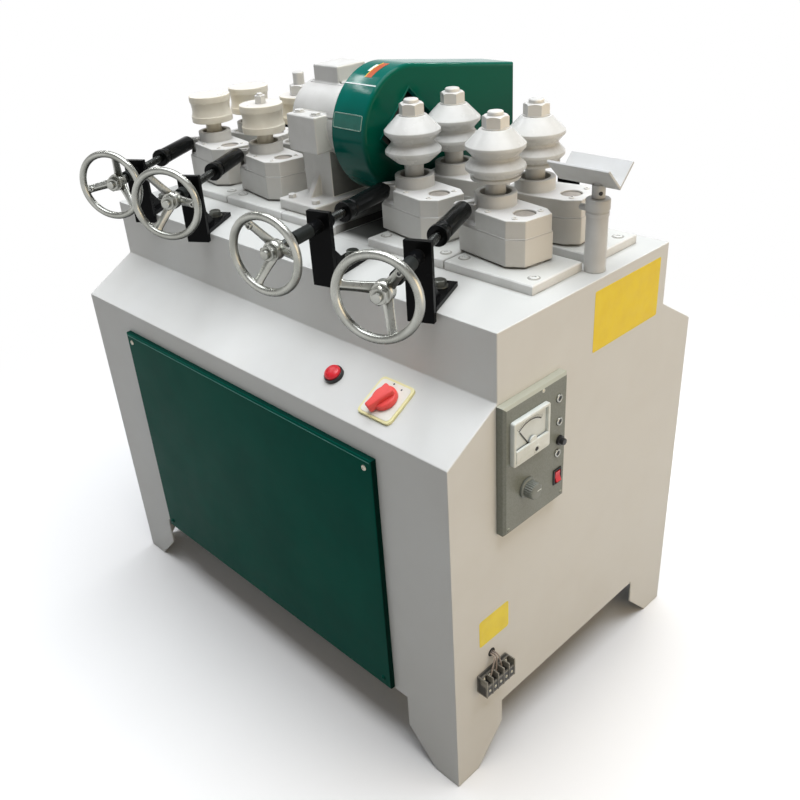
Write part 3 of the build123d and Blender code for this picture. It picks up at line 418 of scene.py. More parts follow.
def moulded(name, tone, second, gloss, grain=0.9, depth=0.03, worn=None):
    """Moulded plastic: an even colour with a breath of another tone over 28 mm, painted shade in its corners,
    a fine pressed grain, a shine smeared over 16 mm, and where it is worn paler edges, found where the
    material is thin."""
    node, place = begin(name)
    cloudy, smear, skin = [
        node("TexNoise", {"Vector": place, "Scale": scale, "Detail": detail, "Roughness": rough})
        for scale, detail, rough in ((36.0, 3.0, 0.55), (62.0, 3.0, 0.6), (1000 / grain, 2.0, 0.5))
    ]
    colour = layer(node, linear(tone), linear(second), cloudy, 0.35, 0.7)
    # Painted shade in the corners: a darker share of the second tone.
    corner = node("AmbientOcclusion", {"Distance": 4 * mm}, "AO", samples=6)
    dark = [0.55 * part for part in linear(second)[:3]] + [1.0]
    colour = layer(node, colour, dark, corner, 0.2, 0.8, 0.6, 0.0)
    if worn:
        thin = node("AmbientOcclusion", {"Distance": 4.5 * mm}, "AO", samples=6, inside=True)
        colour = layer(node, colour, linear(worn), thin, 0.55, 0.9, 1.3, 0.0, soft=False, patch=cloudy)
    close(node, colour, smear, gloss - 0.05, gloss + 0.09, skin, 0.4, depth)


def hammered(name, tone, second, corner_dirt_and_shade, dust_and_painted_light, gloss):
    """Hammer finish: soft rounded cells 3 mm wide, each with a darker rim, dirt and painted shade in the
    corners, a soft sheen, and a pale tone of dust and painted light on the faces that look up."""
    node, place = begin(name)
    cell = {"Vector": place, "Scale": 330.0, "Smoothness": 0.8}
    cells = node("TexVoronoi", cell, "Distance", feature="SMOOTH_F1")
    colour = layer(node, linear(tone), linear(second), cells, 0.15, 0.75)
    # Dirt and painted shade in the corners.
    corner = node("AmbientOcclusion", {"Distance": 8 * mm}, "AO", samples=6)
    colour = layer(node, colour, linear(corner_dirt_and_shade), corner, 0.2, 0.8, 0.6, 0.0)
    # Dust and painted light: faces that look up turn paler.
    facing = node("SeparateXYZ", {0: node("NewGeometry", out="Normal")}, 2)
    colour = layer(node, colour, linear(dust_and_painted_light), facing, 0.2, 0.8, 0.0, 0.8, soft=False)
    smear = node("TexNoise", {"Vector": place, "Scale": 16.0, "Detail": 3.0, "Roughness": 0.6})
    close(node, colour, smear, gloss - 0.05, gloss + 0.08, cells, 0.2, 0.18, high=0.7)


# The numbers of a paint: roughness, width and depth of its dimples and width of its clouds in mm, shine

# Light grey powder coat: the big sheet faces, dust and painted shade in the corners, painted shade on the
# faces that look up, a fine orange peel
paint("cabinet_powder_coat", "#dedfdd", "#d9d9d6", "#a39e92", 0.5, 1.6, 0.06, 320.0, 0.4, lying="#cacbc8")
# Light grey paint on the ground plates: a little cooler, scuffed, with painted shade on the faces that look
# up
paint("ground_plate_paint", "#e0e0de", "#d6d6d3", "#8f8b82", 0.42, 2.2, 0.05, 60.0, 0.4, lying="#cecfcb")
# Paint over sand castings: pale and slightly lumpy, with painted light on the faces that look along x
paint("casting_paint", "#d3d2cf", "#cac9c5", "#8d897f", 0.42, 3.4, 0.16, 70.0, ends="#e8e3d8")
# The same paint on the arms, greyer, with painted light that makes the faces looking along x and the lids
# paler
paint(
    "arm_casting_paint", "#c6c5c1", "#bdbcb7", "#86827a", 0.42, 3.4, 0.16, 70.0, ends="#d5d2cb",
    lying="#d3d2cf")
# Paint on the turned rollers: the smoothest grey
paint("roller_paint", "#d4d4d1", "#ccccc8", "#99958a", 0.26, 1.4, 0.03, 50.0, 0.35)
# Creamier paint on the outfeed rollers, the palest of all, with painted shade on the faces that look up
paint("outfeed_roller_paint", "#f3ecda", "#ebe2ce", "#a89f90", 0.3, 1.4, 0.03, 50.0, 0.35, lying="#dbd7d0")
# Dust and painted shade in the countersinks round the plate screws
paint("well_dust_and_shade", "#a9a8a2", "#94938c", "#6d6a62", 0.6, 1.6, 0.05, 8.0, 0.3)
# Brownish grey, dull caps in the lids
paint("lid_cap_paint", "#a39c93", "#8f8880", "#6a635a", 0.5, 2.0, 0.08, 14.0)
# Green enamel of the belt cover: deep, saturated and wet; painted shade makes it darker low down, on the
# faces that look along x and in its corners
paint(
    "cover_green_enamel", "#046a5e", "#046257", "#022e27", 0.14, 2.6, 0.03, 120.0, 0.09, ends="#025743",
    sunk=(2, 0.88, 1.05, 0.8))
# The bare plate on the drum: the same enamel, rubbed greyer
paint("plate_green_enamel", "#2c6e62", "#27675b", "#14403a", 0.3, 2.0, 0.03, 20.0, 0.2)
# Painted shadow of the belt cover on the table under the cutter head: nearly black, fading out to the front
paint(
    "cover_shadow_paint", "#cacbc8", "#c2c2be", "#353633", 0.5, 1.6, 0.06, 40.0, 0.2, sunk=(1, -0.022, -0.054, 0.97))
# The same painted shadow of the cover on the side of the housing's column, fainter
paint("column_shadow_paint", "#96948d", "#8a8881", "#57564f", 0.5, 3.4, 0.16, 40.0, 0.3, sunk=(1, 0.09, 0.015, 0.9))
# The cover's green on the front panel, darker and duller, with painted shade on the faces that look along x
# and up
paint(
    "panel_green_enamel", "#045547", "#044d41", "#033a30", 0.38, 2.4, 0.07, 200.0, 0.02, ends="#04241e",
    lying="#0b3a32")
# Painted highlight of the panel's bent top edge: a paler green line
paint("panel_bend_painted_highlight", "#2c7568", "#266b5f", "#0a4a3e", 0.3, 2.4, 0.05, 60.0, 0.2)
# Black enamel on brackets and stops: thick, with soft dimples
paint("black_enamel", "#0a0b0c", "#0e0f11", "#1d1c1a", 0.24, 2.6, 0.07, 40.0, 0.05)
# Blackened steel of the screw guides: dull
paint("guide_black", "#1a1e1d", "#161918", "#262826", 0.5, 1.6, 0.05, 30.0, 0.15)
# Black spring sleeves: smoother and deeper
paint("sleeve_black", "#080a0a", "#0c0e0f", "#191816", 0.17, 1.6, 0.03, 30.0, 0.1)
# Motor paint: plain blue-grey, half matt
paint("motor_grey_paint", "#5f6668", "#575d5f", "#37393a", 0.48, 2.4, 0.09, 60.0)
# Painted angle steel of the trough and its post: cool light grey
paint("trough_paint", "#d2d3d3", "#cbcccb", "#8e8b83", 0.4, 1.8, 0.05, 60.0, 0.35)
# Satin chrome of handwheels, hub nuts and control rings: soft lights, painted shade on the faces that look
# down
metal("handwheel_chrome", "#b7b8b2", "#a3a49d", 0.27, 9.0, 0.015, under="#3b3c38")
# Turned steel of shafts and posts: fine turning marks
metal("turned_steel", "#a9a7a1", "#98958e", 0.28, 3.0)
# Dark steel of the hollow spindle and its knives
metal("spindle_steel", "#4a4a47", "#3c3c3a", 0.34, 3.0, tarnish="#1b1a18")
# Dark oiled screw rods
metal("oiled_screw_steel", "#4d4f4d", "#3b3d3b", 0.24, 2.0, tarnish="#1c1d1c")
# Dulled bolts of the brackets
metal("dulled_bolt", "#6a6c67", "#565853", 0.38, 4.0, tarnish="#22221f")
# Zinc-plated screws: slightly yellow, blotched
metal("zinc_plating", "#b9b6a9", "#a29e8d", 0.32, 5.0)
# Thin bead round the bare plate on the cover: pale, with a breath of the green
metal("bead_aluminium", "#7d9a90", "#6f8c82", 0.34, 4.0, 0.01)
# Grey-green hammer finish of the control box, paler on top with dust and painted light
hammered("control_hammer_finish", "#7c8078", "#73776e", "#42453f", "#c3c4b4", 0.4)
# Cool white plastic of the meter
moulded("meter_styrene", "#e6ebe8", "#dde2dd", 0.3)
# White card of the meter dial
moulded("dial_card", "#e6eef0", "#dfe7e9", 0.6, 0.5, 0.01)
# Black print and black plastic: a soft shine
moulded("black_abs", "#141415", "#1c1c1d", 0.34)
# Black plastic of the terminal block, rubbed grey along its edges
moulded("terminal_bakelite", "#1a1a1a", "#242322", 0.42, worn="#a5a196")
# Grey plastic of the speed knob
moulded("grey_abs", "#7e827b", "#747871", 0.4)
# Red plastic of button and rocker
moulded("red_abs", "#df2231", "#cf1c2a", 0.3)
# Paler red of the rotary knob
moulded("knob_nylon", "#f45450", "#ea4b48", 0.36)
# Near-white face and pale yellow rim of the switch plate
moulded("white_abs", "#eeece2", "#e8e5d9", 0.32)
moulded("yellow_abs", "#efe8b2", "#e6dea2", 0.36)
# Wire insulation: soft greyish brown
moulded("wire_pvc", "#a2958b", "#958880", 0.45)
# Belts and grommet: matt black rubber
moulded("belt_rubber", "#1c1c1c", "#262625", 0.7, 1.2, 0.08)
# Bare vinyl patches: flat, even colour with a soft gloss
moulded("yellow_vinyl", "#f6d800", "#f2d200", 0.4, 1.5, 0.01)
moulded("lemon_vinyl", "#f2dc14", "#ecd510", 0.35, 1.5, 0.01)
moulded("orange_vinyl", "#b9501f", "#ab4719", 0.35, 1.5, 0.01)
# White vinyl, also used for a painted highlight line on the cover's drum
moulded("white_vinyl_and_painted_highlight", "#e9efec", "#dfe7e3", 0.35, 1.5, 0.01)
# Dark brown lacquer of the needle
moulded("needle_lacquer", "#2a2624", "#35302d", 0.4)


# ---- cabinet, table and castings

softened("cabinet", "cabinet_powder_coat", 1.8, 3, shortest=10.0)
softened("cutter_housing", "casting_paint", 3.5, 4)
softened("front_panel", "panel_green_enamel", 0.0, crease=40)
softened("belt_cover", "cover_green_enamel", 0.0, crease=40)
for node, finish, width in (
    ("base_plates", "ground_plate_paint", 0.7), ("motor_seat", "ground_plate_paint", 0.8),
    ("screw_brackets", "black_enamel", 0.9), ("rear_stops", "black_enamel", 0.8),
    ("trough", "trough_paint", 0.8), ("trough_post", "trough_paint", 0.7),
    ("line_bearings", "casting_paint", 1.0), ("feed_motor", "motor_grey_paint", 1.5),
    ("controller_box", "control_hammer_finish", 0.6), ("rocker", "red_abs", 0.5),
    ("terminal_block", "terminal_bakelite", 0.4),
):
    softened(node, finish, width)
# CAD nodes whose shape is right keep it and take a finish
for node, finish in (
    ("pivot_posts", "turned_steel"), ("motor_pulley", "turned_steel"), ("line_shaft", "turned_steel"),
    ("cutter_spindle", "spindle_steel"), ("drive_belts", "belt_rubber"), ("terminal_wires", "wire_pvc"),
    ("meter_needle", "needle_lacquer"),
):
    frame["nodes"][node].material_slots[0].material = finishes[finish]

# Painted shadow of the belt cover: thin dark sheets on the table, on a base plate and its edge, and on the
# side of the housing's column
shadow_sheet = (-0.2, 0.25)
piece("table_painted_shadow", [sheet(86, 260, 6.0, *shadow_sheet, stand((69.0, 44.0, table)))], "cover_shadow_paint", "cabinet")
plate_shadow = sheet(58, 230, 2.0, *shadow_sheet, stand((-5.5, 36.0, plate_top)))
plate_edge_shadow = sheet(230, 14.0, 1.0, *shadow_sheet, stand((24.0, 36.0, 832.5), along_y, upright))
piece("plate_painted_shadow", [plate_shadow, plate_edge_shadow], "cover_shadow_paint", "base_plates")
column_shadow = sheet(122, 118, 2.0, *shadow_sheet, stand((-54.0, 50.0, 921.0), along_y, upright))
piece("column_painted_shadow", [column_shadow], "column_shadow_paint", "cutter_housing")


# ---- fasteners


def pan_head(radius, place):
    """A round head: a low dome with a dish in its middle."""
    a = np.linspace(0, pi / 2, 6)
    dome = np.stack([radius * np.cos(a) * 0.98 + 0.02 * radius, 0.45 * radius * np.sin(a)], -1)
    dish = [(0.3 * radius, 0.44 * radius), (0.18 * radius, 0.2 * radius), (0, 0.18 * radius)]
    return turned(np.concatenate([[(radius, -0.2)], dome[:-1], dish]), place, 24)


def socket_head(radius, place):
    """A cap screw seen from above: a rounded rim round a socket."""
    rim = [(0.98 * radius, -0.3), (radius, 1.2), (0.58 * radius, 1.6), (0.52 * radius, 0.2), (0, 0.1)]
    return lathe(rim, [0.5, 0.2, 0.1], place, 24)


def bolt(flats, head, ring, washer, place):
    """A hexagon bolt head over its washer, both about the bolt's axis."""
    disc = lathe([(0, 0), (ring, 0), (ring, washer), (0, washer)], [0.2, 0.5], place, 32, 3)
    return [disc, nut(flats, washer, washer + head, place)]


# ---- arms and rollers


def make_arm(name, side):
    """An arm, the cap over its pivot, and cap screws near the lid's corners; a front arm has its lug at the
    fourth. The lid's frame stands on the roller axis and is turned with the arm."""
    node, row = f"{side}_arm_{name}", sides[side]
    a = radians(arm_turn) * row
    middle = (stations[name].x, feed_y + row * roller_offset, lid_top)
    lid = stand(middle, (cos(a), sin(a), 0), (-sin(a), cos(a), 0))
    softened(node, "arm_casting_paint", 1.6, 3)
    cap = [(0, -2.4), (15.0, -2.4), (16.7, -3.6), (16.7, -5)]
    piece(node + "_cap", [lathe(cap, [0.8, 0.5], shifted(lid, pivot_offset))], "lid_cap_paint", node)
    spots = [(76, -30), (76, 22), (-28, 24), (-28, -30) if row > 0 else (22, -36)]
    screws = [socket_head(4.6, shifted(lid, x, -row * y)) for x, y in spots]
    piece(node + "_screws", screws, "casting_paint", node)


def roller_top(node, place, top, stud, rise, flats, height):
    """Washer, nut and stud on a roller, one above the other about its axis."""
    ring, face = 0.58 * flats, top + 1.6
    washer = lathe([(stud, top), (ring, top), (ring, face), (stud, face)], 0.4, place, 48, 3)
    nuts = [washer, nut(flats, face, top + height, place, stud - 0.2)]
    piece(node + "_nut", nuts, "casting_paint", node, crease=25)
    end = [(0, top), (stud, top), (stud, top + rise - 1.6), (stud - 1.6, top + rise), (0, top + rise)]
    piece(node + "_stud", [lathe(end, 0.5, place)], "casting_paint", node)


def make_roller(name, side):
    """A roller turned from its real profile: the infeed ones with a V groove between two rims under a cone,
    the outfeed ones with a waist that falls as one minus the square of the height between straight rims."""
    node, row = f"{side}_roller_{name}", sides[side]
    place = stand((stations[name].x, feed_y + row * roller_offset, table))
    infeed = name.startswith("infeed")
    if infeed:
        low, low_trims = [(28, 129)], [1.5]
        if name == "infeed_far":
            low = [(37.4, 129), (38.8, 130.2), (38.8, 134), (37.0, 135), (37.0, 136), (38.8, 136.6)]
            low_trims = [0.4, 0.4, 0.4, 0.3, 0.3, 0.3]
        corners = [
            (0, 50), (16, 50), (16, 129), *low, (46.5, 144.5), (46.5, 149.5), (36, 161), (36, 165),
            (46.5, 176.5), (46.5, 181.5), (24, 204), (0, 204)]
        trims = [1, 1, *low_trims, 0.9, 0.9, 1.0, 1.0, 0.9, 0.9, 1.2]
    else:
        hollow = np.linspace(-1, 1, 13)
        waist = np.stack([40.6 - 1.9 * (1 - hollow**2), 154 + 13 * hollow], -1)
        corners = [
            (0, 50), (16, 50), (16, 128), (41.5, 128), (41.5, 140), *waist, (41.5, 168), (41.5, 180),
            (0, 180)]
        trims = [1, 1, 1.5, 0.3, *[0.4] * len(waist), 0.3, 1.5]
    finish = "roller_paint" if infeed else "outfeed_roller_paint"
    piece(node + "_turned", [lathe(corners, trims, place, 80, 6)], finish, node, stands_for=True)
    if infeed:
        roller_top(node, place, 204.0, 12.2, 25.0, 36.0, 19.0)
    elif name == "outfeed_near" and side == "front":
        roller_top(node, place, 180.0, 6.0, 19.0, 19.0, 15.0)
    elif name == "outfeed_near":
        roller_top(node, place, 180.0, 11.0, 42.0, 36.0, 19.0)


for name in stations:
    for side in sides:
        make_arm(name, side)
        make_roller(name, side)


# ---- screws, sleeves and handwheels


def screw_place(name):
    """The line of an adjusting screw from the lug outwards: across it, up, and along it."""
    x, angle, _, _, lug = stations[name]
    return stand((x + lug, lug_y, screw_z), (cos(radians(angle)), sin(radians(angle)), 0), upright)


def bracket_front(name):
    """Distance from the lug to the front of the bracket's plate: the clear length over the cosine of the
    angle, and the plate's thickness."""
    a = radians(stations[name].angle)
    return (bracket_clear + bracket_half_width * sin(a)) / cos(a) + bracket_thickness


def bracket_bolt_place(name):
    """A bracket's bolt on its foot: under the line of its screw, behind the front of its plate."""
    (x, y, _), directions = shifted(screw_place(name), z=bracket_front(name) - bracket_bolt_back)
    return stand((x, y, table + bracket_foot), directions[0])


def make_screw(name):
    """Spring sleeve turned with a round nose and a grooved cap, the threaded rod, the nut before the hub, and
    the guide that carries the bracket's boss on towards the hub."""
    place = screw_place(name)
    rim = stations[name].reach
    start, end = bracket_front(name) + 23.9, rim - (64 if name.startswith("infeed") else 49)
    guide = [(7.4, start), (10.5, start), (10.5, end), (7.4, end), (7.4, start)]
    piece("guide_" + name, [lathe(guide, [0.9, 1.4, 0.3], place)], "guide_black", "screw_brackets")
    nose = np.linspace(0, pi / 2, 8)
    tip = np.stack([8 * np.sin(nose), 8.8 - 8 * np.cos(nose)], -1)
    corners = [
        (8, 17.8), (14.8, 17.8), (14.8, 116), (13.4, 117.5), (13.4, 120.5), (14.8, 122), (14.8, 127.8),
        (16.4, 127.8), (16.4, 139.8), (7.1, 139.8), (7.1, 102), (0, 102)]
    body = rounded(corners, [3.2, 0.8, 0.6, 0.6, 0.8, 0.3, 1.5, 1.8, 0.4, 0.2], 5)
    node = "sleeve_" + name
    sleeve = turned(np.concatenate([tip, body]), place, 56)
    piece(node + "_turned", [sleeve], "sleeve_black", node, stands_for=True)
    node = "screw_" + name
    rod = threaded(7.0, 0.6, 103.0, rim - 20.0, place)
    piece(node + "_thread", [rod], "oiled_screw_steel", node, stands_for=True, crease=60)
    tail = lathe([(0, rim - 21), (6.8, rim - 21), (6.8, rim + 4), (0, rim + 4)], [0, 1.4], place, 32)
    disc = lathe([(7, rim - 14), (14, rim - 14), (14, rim - 12), (7, rim - 12)], 0.4, place, steps=3)
    hub_nut = nut(22.0, rim - 12, rim - 2, place, 6.9)
    piece(node + "_nut", [tail, disc, hub_nut], "handwheel_chrome", node, crease=20)


def spoke(angle, place):
    """One spoke carried from the hub out and forward to the rim along a straight line: its section is a bar
    with a ridged front, two slanting faces that meet along its middle, a little wider at both ends."""
    corners = [(-6.6, -4.2), (6.6, -4.2), (6.6, 0.0), (1.0, 4.4), (-1.0, 4.4), (-6.6, 0.0)]
    wide, high = rounded(corners, 0.6, 3, closed=True).T
    t = np.linspace(0, 1, 16)[:, None]
    flare = 1 + 0.3 * (1 - t) ** 3 + 0.35 * np.clip((t - 0.82) / 0.18, 0, 1) ** 2
    along = 11.0 + 43.0 * t
    rise = wheel_dish * (along - spoke_root) / spoke_run - wheel_dish
    points = np.broadcast_arrays(along, flare * wide, rise + high)
    return grid(put(np.stack(points, -1), shifted(place, turn=angle)), caps=True)


def make_handwheel(name):
    """Dished handwheel: a round rim, three spokes that slant back to the hub, a bored boss near the rim."""
    place = shifted(screw_place(name), z=stations[name].reach)
    first = stations[name].spoke
    out = radians(first)
    hub = [(7.05, -32), (12.5, -32), (15, -28.5), (15, -17.5), (13.5, -14), (7.05, -14)]
    boss = shifted(place, 45.5 * cos(out), 45.5 * sin(out), -5.2)
    eye = [(2.6, -3), (2.6, 5.0), (4.4, 5.0), (5.2, 3.4), (5.2, -3)]
    shells = [
        ring_bar(56.3, 6.1, 2.2, place),
        lathe(hub, [1, 1.4, 1.4, 1], place, 48, 5),
        lathe(eye, [0.3, 0.7, 0.4], boss, 28),
        *[spoke(first + 120 * k, place) for k in range(3)],
    ]
    node = "handwheel_" + name
    piece(node + "_wheel", shells, "handwheel_chrome", node, stands_for=True, crease=38)
    piece(node + "_bore", [plate(circle(2.7, 24), [(0, 3.4), (0, 4.5)], boss)], "black_abs", node)


for name in stations:
    make_screw(name)
    make_handwheel(name)


# ---- bolts and screws of plates, housing and panel

bolt_places = [bracket_bolt_place(name) for name in stations]
bolt_places += [stand((station.x, 209, table + bracket_foot)) for station in stations.values()]
dark_bolts = [shell for place in bolt_places for shell in bolt(18, 9, 13, 2, place)]
piece("bracket_bolts", dark_bolts, "dulled_bolt", "hex_bolts", stands_for=True, crease=25)
foot_bolts = [nut(14, 0, 7, stand((x, y, 860))) for x in (-122, -54) for y in (-55, 130)]
piece("housing_foot_bolts", foot_bolts, "casting_paint", "hex_bolts", crease=25)
ear_places = [stand((-112, -25, 1010)), stand((-63, -28, 1010))]
ear_bolts = [shell for place in ear_places for shell in bolt(15, 3.4, 10.5, 1.4, place)]
piece("ear_bolts", ear_bolts, "casting_paint", "cutter_housing", crease=25)

screw_spots = [
    stand((station.x + 54 + way * 68, feed_y + row * 109, plate_top))
    for station in stations.values() for row in (-1, 1) for way in (-1, 1)
]
# Countersinks round the plate screws: nearly flat rings in a darker paint, dust and painted shade
well = [(6.0, -0.2), (6.0, 0.12), (9.6, 0.3), (10.4, -0.2)]
wells = [lathe(well, [0.1, 0.3], spot, 36) for spot in screw_spots]
piece("plate_wells", wells, "well_dust_and_shade", "base_plates")
piece("plate_screws", [socket_head(7.2, spot) for spot in screw_spots], "ground_plate_paint", "base_plates")

front = stand((0, front_face - panel_proud, 0), along_x, upright)
# Painted highlight: a thin rod of paler green along the panel's top edge stands for the light on its bend
bend = [(x, 611.0 + 0.9 * sin(a), 0.9 * cos(a)) for x in (-351.0, 351.0) for a in full_turn(8)]
bend = grid(put(np.reshape(bend, (2, 8, 3)), front), caps=True)
piece("panel_bend_highlight", [bend], "panel_bend_painted_highlight", "front_panel")
high_screws, low_screws = ([pan_head(5.0, shifted(front, x, z)) for x in (-338, 338)] for z in (598, 157))
piece("panel_screws", high_screws, "zinc_plating", "front_panel")
piece("panel_screws_low", low_screws, "panel_green_enamel", "front_panel")


# ---- trough

post = stand((post_x, feed_y, post_top))
collar = [(16.4, -17), (18.4, -17), (18.4, -0.4), (16.0, 0.2), (16.0, -2)]
ring = [(16.4, -26), (17.6, -26), (17.6, -20), (16.4, -20)]
clamp = [lathe(collar, [1.6, 2.2, 0.2], post, 48, 5), lathe(ring, 1.0, post, 48, 5)]
piece("post_collar", clamp, "trough_paint", "trough_post")
rod = [(7.2, 0.8), (10.0, 0.8), (10.0, 20), (7.2, 20)]
piece("trough_rod", [lathe(rod, [0.8, 0.4], post)], "trough_paint", "trough")
set_screw = stand((post_x + 9.6 * 0.8, feed_y - 9.6 * 0.6, post_top + 9.0), (0.6, 0.8, 0), upright)
piece("rod_screw", [pan_head(3.2, set_screw)], "black_abs", "trough")


# ---- belt cover


def cover_lip():
    """A folded lip round the pointed opening: a bead carried along the diamond |y| + |z| = constant."""
    reach = 69.0
    a = np.linspace(-pi, pi, 240, endpoint=False)
    diamond = reach / (np.abs(np.cos(a)) + np.abs(np.sin(a)))
    section = np.array([
        (4.6, 93.0), (3.8, 94.1), (2.0, 94.5), (0.6, 94.0), (0, 92.5), (0, 84.0), (1.6, 84.0), (2.6, 91.0)])
    radius = diamond * (reach + section[:, :1]) / reach
    opening = stand((0, feed_y, feed_z), along_y, upright)
    return around(radius, a, section[:, 1:], opening, wrap_rows=True)


def on_drum(x, degrees, height):
    """A place on the drum of the cover: x along it, the angle round it, the height over its surface."""
    a = np.radians(degrees)
    radius = cover_radius + height
    return np.stack(np.broadcast_arrays(x, feed_y + radius * np.cos(a), feed_z + radius * np.sin(a)), -1)


def drum_patch(low, high, left, right, proud):
    """A patch on the drum: angle and x over a rectangle of the drum's surface, a little proud of it."""
    degrees = np.linspace(low, high, 24)[:, None]
    x = np.linspace(left, right, 6)[None, :]
    points = np.concatenate([on_drum(x, degrees, proud), on_drum(x, degrees, -0.4)[:, ::-1]], 1)
    return grid(points, caps=True)


def drum_bead(low, high, left, right, half):
    """A bead round a rectangle on the drum: a round section carried along the rounded outline, whose second
    direction is wound on the drum as an arc."""
    line = box_outline(right - left, radians(high - low) * cover_radius, 3.0)
    edge = np.roll(line, -1, 0) - np.roll(line, 1, 0)
    outward = np.stack([edge[:, 1], -edge[:, 0]], -1) / np.linalg.norm(edge, axis=1, keepdims=True)
    b = full_turn(10)[:, None]
    wide = line[None] + half * np.cos(b)[..., None] * outward[None]
    degrees = (low + high) / 2 + np.degrees(wide[..., 1] / cover_radius)
    return grid(on_drum((left + right) / 2 + wide[..., 0], degrees, half * np.sin(b)), wrap_rows=True)


for name, finish, shell in (
    ("cover_lip", "cover_green_enamel", cover_lip()),
    ("cover_strip", "orange_vinyl", drum_patch(96, 121, 49, 63, 0.3)),
    ("cover_strip_edge", "yellow_vinyl", drum_patch(96, 121, 47.6, 49, 0.3)),
    ("cover_strip_tab", "white_vinyl_and_painted_highlight", drum_patch(101, 113, 41, 47, 0.25)),
    ("cover_plate", "plate_green_enamel", drum_patch(158, 169.5, 17, 83, 0.35)),
    ("cover_plate_bead", "bead_aluminium", drum_bead(157.5, 170, 16, 84, 1.0)),
    # Painted highlight: a thin white line across the drum where a lamp's reflection lies
    ("cover_fold", "white_vinyl_and_painted_highlight", drum_patch(129.0, 130.1, 14, 87, 0.5)),
):
    piece(name, [shell], finish, "belt_cover")


# ---- main motor

motor_axis = stand((0, motor_y, motor_z), along_y, upright)


def motor_barrel():
    """Ribbed barrel: the radius swings between rib and valley round the axis and is even along it."""
    ribs, valley, rib_height = 44, 68.5, 7.5
    a = full_turn(6 * ribs)
    tooth = np.clip(1.8 * np.cos(ribs * a) + 0.3, 0, 1)
    rows = np.array([(-189.0, 3.0), (-187.5, 0.0), (-22.5, 0.0), (-21.0, 3.0)])
    return around(valley + (rib_height - rows[:, 1:]) * tooth, a, rows[:, :1], motor_axis, caps=True)


outer_bell = [(0, -215), (42, -215), (64, -212), (68, -206), (68, -188), (0, -188)]
inner_bell = [(0, -22), (68, -22), (68, -4), (64, 2), (42, 5), (14.2, 5), (14.2, -20), (0, -20)]
motor_shells = [
    motor_barrel(),
    lathe(outer_bell, [6, 3, 3, 1], motor_axis, 72, 5),
    lathe(inner_bell, [1, 3, 3, 6, 0.5, 0.3], motor_axis, 72, 5),
    plate(box_outline(168, 116, 4), soft_edge(0, 60, 2.0), stand((-105, motor_y, 859))),
]
piece("motor_body", motor_shells, "motor_grey_paint", "main_motor", stands_for=True)


# ---- controls on the right side

side_face = stand((right_face, 0, 0), along_y, upright)
box_face = shifted(side_face, z=control_depth)
meter = shifted(box_face, -161, 650)
zero_screw = shifted(meter, 8.5, -27.0)
needle_pivot = shifted(meter, 0, -20)
dial_top = 3.0


def frame_ring(width, height, border, high, trim, place):
    """A rectangular frame: outline and window carried up to its face with their edges rounded."""
    outer = box_outline(width, height, trim)
    window = box_outline(width - 2 * border, height - 2 * border, 2.0)
    rows = [
        (outer, 0), (outer, high - 1.2), (outer * (1 - 1.2 / width), high - 0.3),
        (outer * (1 - 3 / width), high), (window * (1 + 2 / width), high), (window, high - 0.8), (window, 0)]
    points = np.stack([np.concatenate([line, np.full((len(line), 1), h)], 1) for line, h in rows])
    return grid(put(points, place), wrap_rows=True)


def arc_band(radius, width, start, end, count):
    """A thin band on the dial along an arc about the needle's pivot."""
    a = np.radians(np.linspace(start, end, count))[:, None]
    across, height = np.array([(-0.5, 0.0), (0.5, 0.0), (0.5, 0.12), (-0.5, 0.12)]).T
    return around(radius + width * across, a, dial_top + height, needle_pivot, caps=True)


piece("meter_frame", [frame_ring(84, 74, 5, 8, 4.0, meter)], "meter_styrene", "meter_case", stands_for=True)
piece("meter_dial", [sheet(75, 65, 1.0, 0, dial_top, meter)], "dial_card", "meter_case")
scale_start, scale_step, half_mark = 54, 3.6, 0.25
marks = [arc_band(44, 2.0, scale_start, 126, 40)]
for k in range(21):
    middle = scale_start + scale_step * k
    radius, width = (46.8, 4.0) if k % 5 else (47.6, 5.6)
    marks.append(arc_band(radius, width, middle - half_mark, middle + half_mark, 2))
piece("meter_marks", marks, "black_abs", "meter_case")
dish = [(4.4, 8.6), (4.4, 9.6), (6.6, 9.6), (7.2, 8.6)]
mask = [
    plate(box_outline(75, 21, 1.2), soft_edge(5.6, 9.0, 1.0), shifted(meter, 0, -21.5)),
    plate(circle(8.5, 40), soft_edge(5.6, 8.2, 1.0), shifted(meter, 2.6, -11.0)),
    lathe(dish, [0.4, 0.5], zero_screw),
]
piece("meter_mask", mask, "meter_styrene", "meter_case")
piece("meter_zero_screw", [pan_head(3.6, shifted(zero_screw, z=8.9))], "black_abs", "meter_case")


def make_speed_knob():
    """Control knob: a skirt under a fluted grip whose radius ripples round the axis, with a white mark."""
    place = shifted(box_face, -163, 556)
    flutes = 24
    a = full_turn(6 * flutes)
    rows = np.array([
        (0, 0.4, 0), (17, 0.4, 0), (17, 2.8, 0), (15.6, 4.2, 0), (13.6, 4.8, 0.5), (13.2, 17.4, 0.5),
        (12.0, 18.7, 0.3), (10.2, 19, 0), (0, 18.8, 0)])
    grip = around(rows[:, :1] + rows[:, 2:] * np.cos(flutes * a), a, rows[:, 1:2], place)
    piece("speed_knob_grip", [grip], "grey_abs", "speed_knob", stands_for=True, crease=40)
    mark = sheet(9, 1.6, 0.4, 0, 0.3, shifted(place, 6.0, 0, 18.85))
    piece("speed_knob_mark", [mark], "meter_styrene", "speed_knob")


